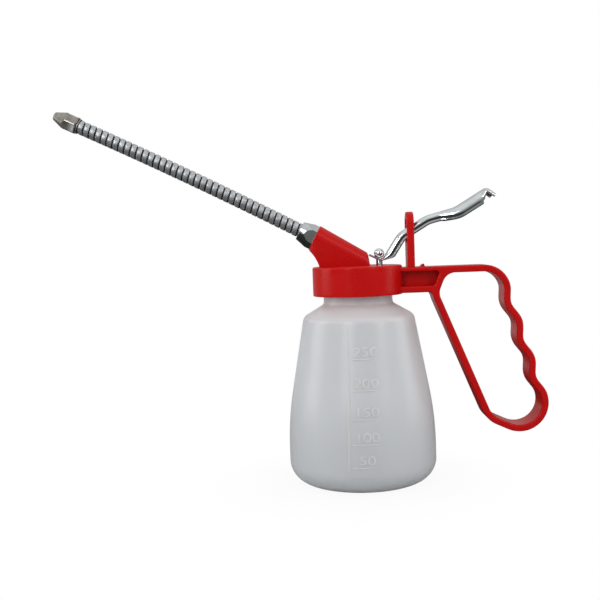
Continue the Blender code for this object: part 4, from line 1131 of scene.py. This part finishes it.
WEDGE = [Vector(spot) for spot in ((29.3, 103.7), (33.6, 103.7), (32.85, 106.45), (32.2, 106.35))]
red(post_form(), "head_post")
red(plate("head_wedge", [WEDGE], 5.2, 0.2, 1), "head_wedge")

# %% [markdown]
# ## Thumb lever
#
# The lever is pressed from one strip: a rounded top with two flanks that grow out of a
# flat slotted tongue, and a wider thumb pad with its end turned down. A grid is laid
# along the strip's bent centre line, and each row of points takes the channel's section
# there. A bead is pressed along each flank. The slot is made by deleting the faces over
# it, and Solidify gives the sheet.

# %% Centre line of the lever
BALL = Vector((PUMP_X, 112.2))
CROWN_LINE = (                  # x and z from the ball's centre, and the bend's radius
    (-4.7, 0.0, 0.0), (1.20, -3.0, 1.6), (9.5, 9.6, 10.0), (23.0, 17.7, 15.0),
    (37.5, 21.4, 12.0), (53.2, 30.7, 2.7), (57.6, 27.4, 0.0))
STATION_STEP = 0.55


def ease(value, start, end):
    """From 0 to 1 between start and end, soft at both."""
    share = min(max((value - start) / (end - start), 0.0), 1.0)
    return share * share * (3 - 2 * share)


def crown_stations():
    """Points along the centre line, each with its direction and its distance run."""
    line = rounded([(Vector((x, z)), r) for x, z, r in CROWN_LINE], False, 10)
    lengths = [0.0]
    for first, second in zip(line, line[1:]):
        lengths.append(lengths[-1] + (second - first).length)
    total = lengths[-1]
    count = round(total / STATION_STEP)
    spots = []
    for i in range(count + 1):
        run = total * i / count
        k = max(j for j, length in enumerate(lengths) if length <= run + 1e-9)
        k = min(k, len(line) - 2)
        share = (run - lengths[k]) / (lengths[k + 1] - lengths[k])
        spots.append(line[k].lerp(line[k + 1], share))
    stations = []
    for i, spot in enumerate(spots):
        ahead = spots[min(i + 1, count)] - spots[max(i - 1, 0)]
        stations.append((spot, ahead.normalized(), total * i / count))
    return stations, total


# %% Section of the lever
CROWN_SHARE = 0.75              # of the strip's half: the rest is flank
FLANK_BEAD = (0.0, -0.04, -0.20, -0.21, -0.08, 0.01, -0.17)


def channel(run, total):
    """Half width, flank depth and crown height at a distance along the lever."""
    full = ease(run, 4.6, 11.0)
    pad = ease(run, 41.0, 54.0)
    width = 3.2 + 2.8 * pad
    crown = 2.1 * (0.1 + 0.9 * full) + 1.6 * pad
    crown *= 1.0 - 0.55 * ease(run, total - 10.5, total - 6.5)
    depth = 4.6 * full + 0.4 * ease(run, 44.9, 45.7) + 1.1 * pad
    depth += (4.7 - depth) * ease(run, total - 11.2, total - 10.4)    # step under the pad
    depth += (2.3 - depth) * ease(run, total - 10.4, total - 6.9)     # turned-down lip
    return width, max(depth, crown), crown


def bead(share):
    """How far the flank stands out at a share of its height: pressed in, then out again."""
    at = min(max(share, 0.0), 1.0) * (len(FLANK_BEAD) - 1)
    k = min(int(at), len(FLANK_BEAD) - 2)
    return FLANK_BEAD[k] + (FLANK_BEAD[k + 1] - FLANK_BEAD[k]) * (at - k)


def pressed(run, total):
    """The bead starts behind the tongue, is shallow in the pad and ends at the step."""
    return (ease(run, 6.0, 12.0) * (1.0 - 0.7 * ease(run, 41.0, 48.0))
            * (1.0 - ease(run, total - 13.0, total - 11.0)))


def section_point(run, total, v):
    """Sideways reach and drop below the crown, for v from -1 to 1 across the strip."""
    width, depth, crown = channel(run, total)
    turn = min(abs(v) / CROWN_SHARE, 1.0) * math.pi / 2
    down_flank = (abs(v) - CROWN_SHARE) / (1.0 - CROWN_SHARE)
    stand_out = bead(down_flank) * pressed(run, total)
    side = math.copysign(width * math.sin(turn) + stand_out, v)
    return side, crown * (1 - math.cos(turn)) + (depth - crown) * max(down_flank, 0.0)


# %% Lever
SHEET = 0.9
SLOT_HALF_LENGTH, SLOT_HALF_WIDTH, TONGUE_TOP_Z = 2.9, 1.8, 113.0


def lever_strip(across=48):
    stations, total = crown_stations()
    rows = len(stations) - 1
    form = bmesh.new()
    bmesh.ops.create_grid(form, x_segments=rows, y_segments=across, size=0.5)
    for vert in form.verts:
        point, ahead, run = stations[round((vert.co.x + 0.5) * rows)]
        side, drop = section_point(run, total, vert.co.y * 2)
        spot = BALL + point - left_of(ahead) * drop
        vert.co = Vector((spot.x, side, spot.y)) * MM
    return form


def cut_slot(form):
    over_slot = []
    for face in form.faces:
        middle = face.calc_center_median() / MM
        if (abs(middle.x - BALL.x) < SLOT_HALF_LENGTH and abs(middle.y) < SLOT_HALF_WIDTH
                and middle.z < TONGUE_TOP_Z):
            over_slot.append(face)
    bmesh.ops.delete(form, geom=over_slot, context="FACES")
    loose = [vert for vert in form.verts if not vert.link_faces]
    bmesh.ops.delete(form, geom=loose, context="VERTS")


def make_lever():
    form = lever_strip()
    cut_slot(form)
    bmesh.ops.recalc_face_normals(form, faces=form.faces)
    middles = {face: face.calc_center_median() for face in form.faces}
    top = max(form.faces, key=lambda face: middles[face].z - abs(middles[face].y))
    if top.normal.z < 0:
        bmesh.ops.reverse_faces(form, faces=form.faces)
    made = piece_from(form, "lever_sheet", 50.0, fix_normals=False)
    sheet = made.modifiers.new("sheet", "SOLIDIFY")
    sheet.thickness = SHEET * MM
    sheet.offset = -1.0
    sheet.use_even_offset = False
    rim = made.modifiers.new("rim", "BEVEL")
    rim.width = 0.18 * MM
    rim.segments = 2
    rim.limit_method = "ANGLE"
    rim.angle_limit = math.radians(60.0)
    return made


fit(make_lever(), "lever", "chromed_steel", "lever")

# %% [markdown]
# ## Rod and ball nut
#
# The rod comes up through the gland, and a round nut on its end sits in the lever's slot.
# Both are turned steel, chromed, so both are lathe outlines.

# %% Rod and ball nut
PUMP_PLACE = (PUMP_X * MM, 0.0, 0.0)
BALL_PLACE = (PUMP_X * MM, 0.0, BALL.y * MM)
ROD = [(0.0, 112.8, 0.0), (1.0, 112.8, 0.2), (1.0, 109.95, 0.0), (1.6, 109.95, 0.25),
       (1.6, 67.8, 0.25), (0.0, 67.8, 0.0)]
BALL_RADIUS, BALL_FLAT = 2.55, 1.95     # the flat is its underside, below the centre
STUD_HOLE = [(1.3, -BALL_FLAT, 0.1), (1.3, 0.94, 0.0), (0.0, 0.94, 0.0)]


def ball_outline(steps=20):
    corners = [(0.0, BALL_RADIUS, 0.0)]
    swing = math.pi / 2 + math.acos(math.sqrt(BALL_RADIUS ** 2 - BALL_FLAT ** 2) / BALL_RADIUS)
    for i in range(1, steps + 1):
        turn = math.pi / 2 - swing * i / steps
        corners.append((BALL_RADIUS * math.cos(turn), BALL_RADIUS * math.sin(turn), 0.0))
    return corners + STUD_HOLE


fit(turned("rod", ROD, 48, PUMP_PLACE, closed=False), "rod", "chromed_steel", "pump_rod")
fit(turned("rod_ball", ball_outline(), 48, BALL_PLACE, closed=False), "rod",
    "chromed_steel", "ball_nut")

# %% [markdown]
# ## Gland nut and nozzle
#
# A hexagon nut starts as a turned blank with a long nose, and its six flats are milled
# off. Sawing the blank along a plane is the milling cut, and the cut is then closed with
# a face. Where a flat meets the cone it leaves the curved edge that a real nut has. The
# nozzle is made the same way.

# %% Milled flats and the gland nut
CORNER_REACH = 1 / math.cos(math.pi / 6)        # of a hexagon, over its half flats
NUT_HALF_FLATS, NUT_NOSE, NUT_CONE = 5.3, 4.6, 5.6


def milled(form, half_flats, start):
    """Six flats, the first one facing the angle start."""
    for i in range(6):
        turn = start + 2 * math.pi * i / 6
        outward = Vector((math.cos(turn), math.sin(turn), 0.0))
        cut = saw(form, outward * half_flats, outward)["geom_cut"]
        rim = [item for item in cut if isinstance(item, bmesh.types.BMEdge) and item.is_boundary]
        if rim:
            bmesh.ops.edgeloop_fill(form, edges=rim)


def stand(form, spot, angle):
    """From the Z axis onto the spout's line."""
    bmesh.ops.transform(form, matrix=leaning(spot * MM, angle), verts=form.verts)


def make_nut():
    corner = NUT_HALF_FLATS * CORNER_REACH
    over = corner + (corner - NUT_NOSE) / NUT_CONE * 2.4
    form = turned_form([(NUT_NOSE, 8.0, 0.15), (over, 0.0, 0.0), (4.4, 0.0, 0.0),
                        (4.4, -7.7, 0.4), (2.6, -7.7, 0.0), (2.6, 5.0, 0.0), (3.8, 5.0, 0.0),
                        (3.8, 8.0, 0.15)], 96)
    bmesh.ops.recalc_face_normals(form, faces=form.faces)
    milled(form, NUT_HALF_FLATS, math.pi / 2)
    stand(form, MOUTH, BOSS_ANGLE)
    return piece_from(form, "spout_gland_nut", 12.0)


fit(make_nut(), "head", "bright_steel", "spout_nut")

# %% [markdown]
# ## Wound hose
#
# The spout's hose is a profiled steel band wound round in a screw line, so its grooves
# lean a little. One pitch of the band is drawn as a short chain and wound up with a few
# turns to spare. Both ends are sawn square, a plain bore is bridged in, and then every
# point is moved from the straight axis onto the spout's curved route.

# %% Route of the hose
HOSE_PITCH, HOSE_TURNS = 3.13, 39
HOSE_LENGTH = HOSE_PITCH * HOSE_TURNS
HOSE_END_ANGLE = math.radians(25.9)
HOSE_START = MOUTH + BOSS_AXIS * 5.3            # in the nut's socket
STIFF_END = 7.0                                 # each end stays straight for so long


def hose_angle(run):
    share = min(max((run - STIFF_END) / (HOSE_LENGTH - 2 * STIFF_END), 0.0), 1.0)
    return BOSS_ANGLE + (HOSE_END_ANGLE - BOSS_ANGLE) * share


def hose_route(steps=800):
    spots = [HOSE_START.copy()]
    for i in range(steps):
        angle = hose_angle(HOSE_LENGTH * (i + 0.5) / steps)
        way = Vector((-math.cos(angle), math.sin(angle)))
        spots.append(spots[-1] + way * (HOSE_LENGTH / steps))
    return spots


ROUTE = hose_route()
HOSE_END = ROUTE[-1]


def on_route(run):
    at = min(max(run / HOSE_LENGTH, 0.0), 1.0) * (len(ROUTE) - 1)
    k = min(int(at), len(ROUTE) - 2)
    return ROUTE[k].lerp(ROUTE[k + 1], at - k)


def bend_onto_route(form):
    for vert in form.verts:
        run = vert.co.z / MM
        angle = hose_angle(run)
        up = Vector((math.sin(angle), math.cos(angle)))
        place = on_route(run) * MM + up * vert.co.x
        vert.co = (place.x, vert.co.y, place.y)


# %% Hose
BAND = (                        # share of the pitch, radius
    (0.00, 2.85), (0.02, 3.29), (0.06, 3.44), (0.14, 3.50), (0.42, 3.50), (0.70, 3.50),
    (0.78, 3.44), (0.82, 3.29), (0.84, 2.85), (1.00, 2.85))
BORE_RADIUS = 2.6


# The second finish here is the grooves' painted shade.
def painted_shade_inside(form, radius):
    """Faces nearer to the axis than the radius take the piece's second finish."""
    for face in form.faces:
        face.material_index = int(face.calc_center_median().xy.length < radius * MM)


def wound_band(form):
    spare = 1.5 * HOSE_PITCH
    verts = [form.verts.new((radius * MM, 0.0, (share * HOSE_PITCH - spare) * MM))
             for share, radius in BAND]
    edges = [form.edges.new(pair) for pair in zip(verts, verts[1:])]
    wound(form, verts + edges, HOSE_PITCH, HOSE_TURNS + 3, 36)
    bmesh.ops.remove_doubles(form, verts=form.verts, dist=0.02 * MM)


def make_hose():
    form = bmesh.new()
    wound_band(form)
    ends = (0.0, HOSE_LENGTH)
    for height, side in zip(ends, (-1.0, 1.0)):
        saw(form, (0.0, 0.0, height), (0.0, 0.0, side))
    for height in ends:
        outer = [edge for edge in open_edges(form)
                 if all(abs(vert.co.z - height * MM) < 0.01 * MM for vert in edge.verts)]
        ring = bmesh.ops.create_circle(form, segments=48, radius=BORE_RADIUS * MM,
                                       matrix=Matrix.Translation((0.0, 0.0, height * MM)))
        bmesh.ops.bridge_loops(form, edges=outer + edges_of(ring["verts"]))
    bmesh.ops.bridge_loops(form, edges=open_edges(form))
    bore = [edge for edge in form.edges if edge.calc_length() > 0.5 * HOSE_LENGTH * MM]
    bmesh.ops.subdivide_edges(form, edges=bore, cuts=40, use_grid_fill=True)
    # The groove faces are painted nearly black: painted shade.
    painted_shade_inside(form, 3.36)
    bend_onto_route(form)
    return piece_from(form, "spout_hose_wound", 42.0)


fit(make_hose(), "head", "wound_steel", "spout_hose", slot="bright_steel", second="groove_painted_shade")

# %% [markdown]
# ### Ring and nozzle
#
# Behind the nozzle sits a thin ring with a collar on each side of it, painted nearly black
# as shade in the grooves. The nozzle is a short hexagon with a cone, and the six edges of
# the cone fade out where the milled flats leave the turned nose. The hexagon's long corners
# are worn round and painted pale, as a painted highlight along each corner.

# %% Ring
def make_ring():
    form = turned_form([(3.8, 1.02, 0.15), (3.8, 0.38, 0.15), (3.1, 0.38, 0.0), (3.1, 0.03, 0.0),
                        (2.6, 0.03, 0.0), (2.6, 1.37, 0.0), (3.1, 1.37, 0.0), (3.1, 1.02, 0.0)],
                       64)
    painted_shade_inside(form, 3.6)
    stand(form, HOSE_END, HOSE_END_ANGLE)
    return piece_from(form, "nozzle_collar", 35.0)


fit(make_ring(), "head", "nickel_plate", "nozzle_ring", second="groove_painted_shade")

# %% Nozzle
NOZZLE_HALF_FLATS = 4.1
NOZZLE_FOOT, NOZZLE_TIP, NOZZLE_CONE = 1.4, 13.8, 7.1
TIP_RADIUS, ORIFICE, SHANK_RADIUS, SHANK_END = 1.9, 0.7, 2.3, -5.7


def make_nozzle():
    corner = NOZZLE_HALF_FLATS * CORNER_REACH
    past = 1.3                  # the blank's cone runs on past the hexagon's corners
    over = corner + (corner - TIP_RADIUS) / NOZZLE_CONE * past
    form = turned_form([
        (ORIFICE, NOZZLE_TIP, 0.12), (TIP_RADIUS, NOZZLE_TIP, 0.55),
        (over, NOZZLE_TIP - NOZZLE_CONE - past, 0.0), (over, NOZZLE_FOOT + 1.1, 0.0),
        (over - 1.3, NOZZLE_FOOT, 0.0), (SHANK_RADIUS, NOZZLE_FOOT, 0.0),
        (SHANK_RADIUS, SHANK_END, 0.3), (ORIFICE, SHANK_END, 0.0)], 96)
    bmesh.ops.recalc_face_normals(form, faces=form.faces)
    milled(form, NOZZLE_HALF_FLATS, 0.0)
    corners = [edge for edge in form.edges
               if abs(edge.verts[0].co.z - edge.verts[1].co.z) > 0.5 * MM
               and all(abs(vert.co.xy.length - corner * MM) < 0.08 * MM for vert in edge.verts)]
    # The rounded corners take the pale second finish: worn, and a painted highlight along each
    # corner.
    for face in round_edges(form, corners, 0.58, 3)["faces"]:
        face.material_index = 1
    stand(form, HOSE_END, HOSE_END_ANGLE)
    return piece_from(form, "nozzle_turned", 12.0)


fit(make_nozzle(), "head", "nickel_plate", "nozzle", second="worn_highlit_nickel")

# %% [markdown]
# ## Inside the bottle
#
# The pump hangs from the head: a cylinder, a foot valve with its ball, a suction tube cut
# on a slant, and a spring above the piston. They are lathe outlines with finely rounded
# ends. The tube is turned square and its lower points are then raised onto the slant. The
# spring is a small circle wound up in a screw line.

# %% Cylinder and foot valve
CYLINDER = [(4.7, 98.5, 0.25), (4.7, 53.3, 0.25), (3.9, 53.3, 0.0), (3.9, 98.5, 0.25)]
FOOT_VALVE = [
    (3.6, 60.0, 0.2), (3.6, 53.0, 0.0), (4.7, 53.0, 0.2), (4.7, 51.4, 0.2), (1.9, 51.4, 0.0),
    (1.9, 45.4, 0.3), (1.0, 45.4, 0.0), (1.0, 54.3, 0.15), (2.2, 54.3, 0.0), (2.2, 59.0, 0.0),
    (1.2, 59.0, 0.0), (1.2, 60.0, 0.1)]
for name, outline, node in (("cylinder_tube", CYLINDER, "pump_cylinder"),
                            ("foot_valve_body", FOOT_VALVE, "foot_valve")):
    fit(turned(name, outline, 64, PUMP_PLACE), "head", "white_plastic", node)

# %% Suction tube
TUBE_RADIUS, TUBE_BORE, TUBE_TOP_Z, TUBE_END_Z = 3.0, 2.2, 51.1, 3.6
TUBE_SLANT = math.radians(35.0)


def make_suction_tube():
    form = turned_form([(TUBE_RADIUS, TUBE_TOP_Z, 0.15), (TUBE_RADIUS, TUBE_END_Z, 0.0),
                        (TUBE_BORE, TUBE_END_Z, 0.0), (TUBE_BORE, TUBE_TOP_Z, 0.15)], 64)
    for vert in form.verts:
        if vert.co.z < (TUBE_END_Z + 0.1) * MM:
            vert.co.z += (TUBE_RADIUS * MM - vert.co.x) * math.tan(TUBE_SLANT)
    bmesh.ops.translate(form, verts=form.verts, vec=PUMP_PLACE)
    return piece_from(form, "suction_pipe", 35.0)


fit(make_suction_tube(), "head", "white_plastic", "suction_tube")

# %% Return spring
SPRING_FOOT_Z, SPRING_TOP_Z, SPRING_TURNS = 71.15, 92.85, 9
WIRE_RADIUS, COIL_RADIUS = 0.35, 2.75


def make_spring():
    form = bmesh.new()
    upright = Matrix.Rotation(math.pi / 2, 4, "X")
    place = Matrix.Translation(Vector((COIL_RADIUS, 0.0, SPRING_FOOT_Z)) * MM) @ upright
    ring = bmesh.ops.create_circle(form, cap_ends=True, segments=10, radius=WIRE_RADIUS * MM,
                                   matrix=place)
    face = ring["verts"][0].link_faces[0]
    pitch = (SPRING_TOP_Z - SPRING_FOOT_Z) / SPRING_TURNS
    wound(form, ring["verts"] + face.edges[:] + [face], pitch, SPRING_TURNS, 24)
    bmesh.ops.translate(form, verts=form.verts, vec=PUMP_PLACE)
    return piece_from(form, "spring_coil", 60.0)


spring = fit(make_spring(), "head", "bright_steel", "return_spring")
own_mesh(spring)

# %% [markdown]
# ## Solids that keep their shape
#
# Seals, washers, valve balls, the piston and the liner are right as they are. They only
# need the finish of their real material in place of the plain colour they came with.

# %% Finishes for the other solids
CARRIED = {
    "neck_gasket": "black_rubber", "gland_seal": "black_rubber", "gland_bush": "white_plastic",
    "inlet_ball": "bright_steel", "piston": "white_plastic", "piston_seal": "black_rubber",
    "piston_ball": "bright_steel", "spout_washer": "black_rubber", "spout_liner": "white_plastic",
}
for node, finish in CARRIED.items():
    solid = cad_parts[node]
    solid.data.materials.clear()
    solid.data.materials.append(finishes[finish])
print("carried over:", len(CARRIED))

# %% [markdown]
# ## Floor, world and lamps
#
# The can stands in front of plain white. A white world and a pale floor do that. Light
# Path tells a shader which ray is asking: for rays from the camera and for clear parts,
# the background is plain white at strength 1, and reflections of what is straight behind
# the can are lightened. The light that falls on the can stays at a plain level. It is
# brightest from above and dimmest at the height of the eye, as in a room with a lit
# ceiling, and that gives the chromed lever its light top and dark flank.

# %% World
WHITE = (1.0, 1.0, 1.0)


def blended(tree, factor, first, second):
    node = added(tree, "MixShader", {"Fac": factor})
    tree.links.new(first, node.inputs[1])
    tree.links.new(second, node.inputs[2])
    return node.outputs["Shader"]


def looks_through(tree, rays):
    """1 for a ray that the viewer looks along, straight or through a clear part."""
    return maths(tree, "MAXIMUM", rays["Is Camera Ray"], rays["Is Transmission Ray"])


def make_world():
    world = bpy.data.worlds.new("studio")
    bpy.context.scene.world = world
    world.use_nodes = True
    tree = world.node_tree
    tree.nodes.clear()
    way = added(tree, "TexCoord", {}).outputs["Generated"]
    rays = added(tree, "LightPath", {}).outputs
    level = ranged(tree, coordinate(tree, way, "Z"), 0.19, 0.87, 0.0, 0.95)
    light = added(tree, "Background", {"Color": WHITE, "Strength": level})
    white = added(tree, "Background", {"Color": WHITE, "Strength": 1.0})
    behind = maths(tree, "GREATER_THAN", coordinate(tree, way, "Y"), 0.95)
    lightened = maths(tree, "MULTIPLY", behind, 0.35)
    reflected = maths(tree, "MULTIPLY", rays["Is Glossy Ray"], lightened)
    amount = maths(tree, "MAXIMUM", looks_through(tree, rays), reflected)
    surface = blended(tree, amount, light.outputs["Background"], white.outputs["Background"])
    added(tree, "OutputWorld", {"Surface": surface})


make_world()

# %% [markdown]
# ### Floor
#
# The floor is a large disc just under the can. Its own colour is a pale grey that takes
# the shadow. For camera rays it turns to plain white a few centimetres from the can, so
# that it melts into the background and only a soft contact shadow is left. Reflections
# see a dark floor, which gives the polished metal its dark lower faces, and it turns half
# white far behind the can.

# %% Floor
FLOOR_RADIUS, FLOOR_Z = 3.0, -0.2 * MM
FLOOR_PALE, FLOOR_DARK = (0.60, 0.60, 0.60), (0.03, 0.03, 0.03)


def floor_disc():
    form = bmesh.new()
    bmesh.ops.create_circle(form, cap_ends=True, segments=96, radius=FLOOR_RADIUS)
    made = piece_from(form, "floor", 30.0)
    made.data.transform(Matrix.Translation((0.0, 0.0, FLOOR_Z)))
    if made.data.polygons[0].normal.z < 0:
        made.data.flip_normals()
    return made


def floor_finish():
    finish = bpy.data.materials.new("pale_floor")
    finish.use_nodes = True
    tree = finish.node_tree
    tree.nodes.clear()
    spot = added(tree, "TexCoord", {}).outputs["Object"]
    rays = added(tree, "LightPath", {}).outputs
    away = added(tree, "VectorMath", {"Vector": spot}, operation="LENGTH").outputs["Value"]
    pale = added(tree, "BsdfDiffuse", {"Color": FLOOR_PALE}).outputs["BSDF"]
    dark = added(tree, "BsdfDiffuse", {"Color": FLOOR_DARK}).outputs["BSDF"]
    white = added(tree, "Emission", {"Color": WHITE, "Strength": 1.0}).outputs["Emission"]
    near = ranged(tree, away, 0.93, 1.0, 0.03, 0.08)
    far = ranged(tree, coordinate(tree, spot, "Y"), 0.0, 0.5, 0.20, 0.70)
    amount = maths(tree, "MAXIMUM", maths(tree, "MULTIPLY", looks_through(tree, rays), near),
                   maths(tree, "MULTIPLY", rays["Is Glossy Ray"], far))
    own = blended(tree, rays["Is Glossy Ray"], pale, dark)
    added(tree, "OutputMaterial", {"Surface": blended(tree, amount, own, white)})
    return finish


floor = floor_disc()
floor.data.materials.append(floor_finish())

# %% [markdown]
# ### Lamps
#
# Two tall narrow soft boxes stand in front and draw the long soft highlights on the
# bottle and the cap. Two wide ones at the sides keep the round sides from falling off
# into grey. An area lamp gives soft edges, which a point lamp couldn't.

# %% Lamps
AIM = Vector((0.0, 0.0, 0.08))
LAMPS = (                       # name, place, width and height in metres, watts
    ("left box", (-0.46, -0.98, 0.58), 0.16, 0.7, 3.8),
    ("right box", (0.70, -0.80, 0.60), 0.16, 0.6, 2.3),
    ("left wall", (-1.10, 0.00, 0.45), 0.6, 0.9, 4.1),
    ("right wall", (1.10, 0.00, 0.45), 0.6, 0.9, 3.4),
)


def soft_box(name, place, width, height, watts):
    lamp = bpy.data.lights.new(name, "AREA")
    lamp.shape = "RECTANGLE"
    lamp.size, lamp.size_y = width, height
    lamp.energy = watts
    made = in_scene(name, lamp)
    aim = (AIM - Vector(place)).to_track_quat("-Z", "Y")
    made.matrix_world = Matrix.Translation(place) @ aim.to_matrix().to_4x4()
    made.visible_camera = False


for lamp in LAMPS:
    soft_box(*lamp)
print("lamps:", len(LAMPS))

# %% Finish
print("pieces:", len(made_pieces), "triangles:", sum(triangles(piece) for piece in made_pieces))
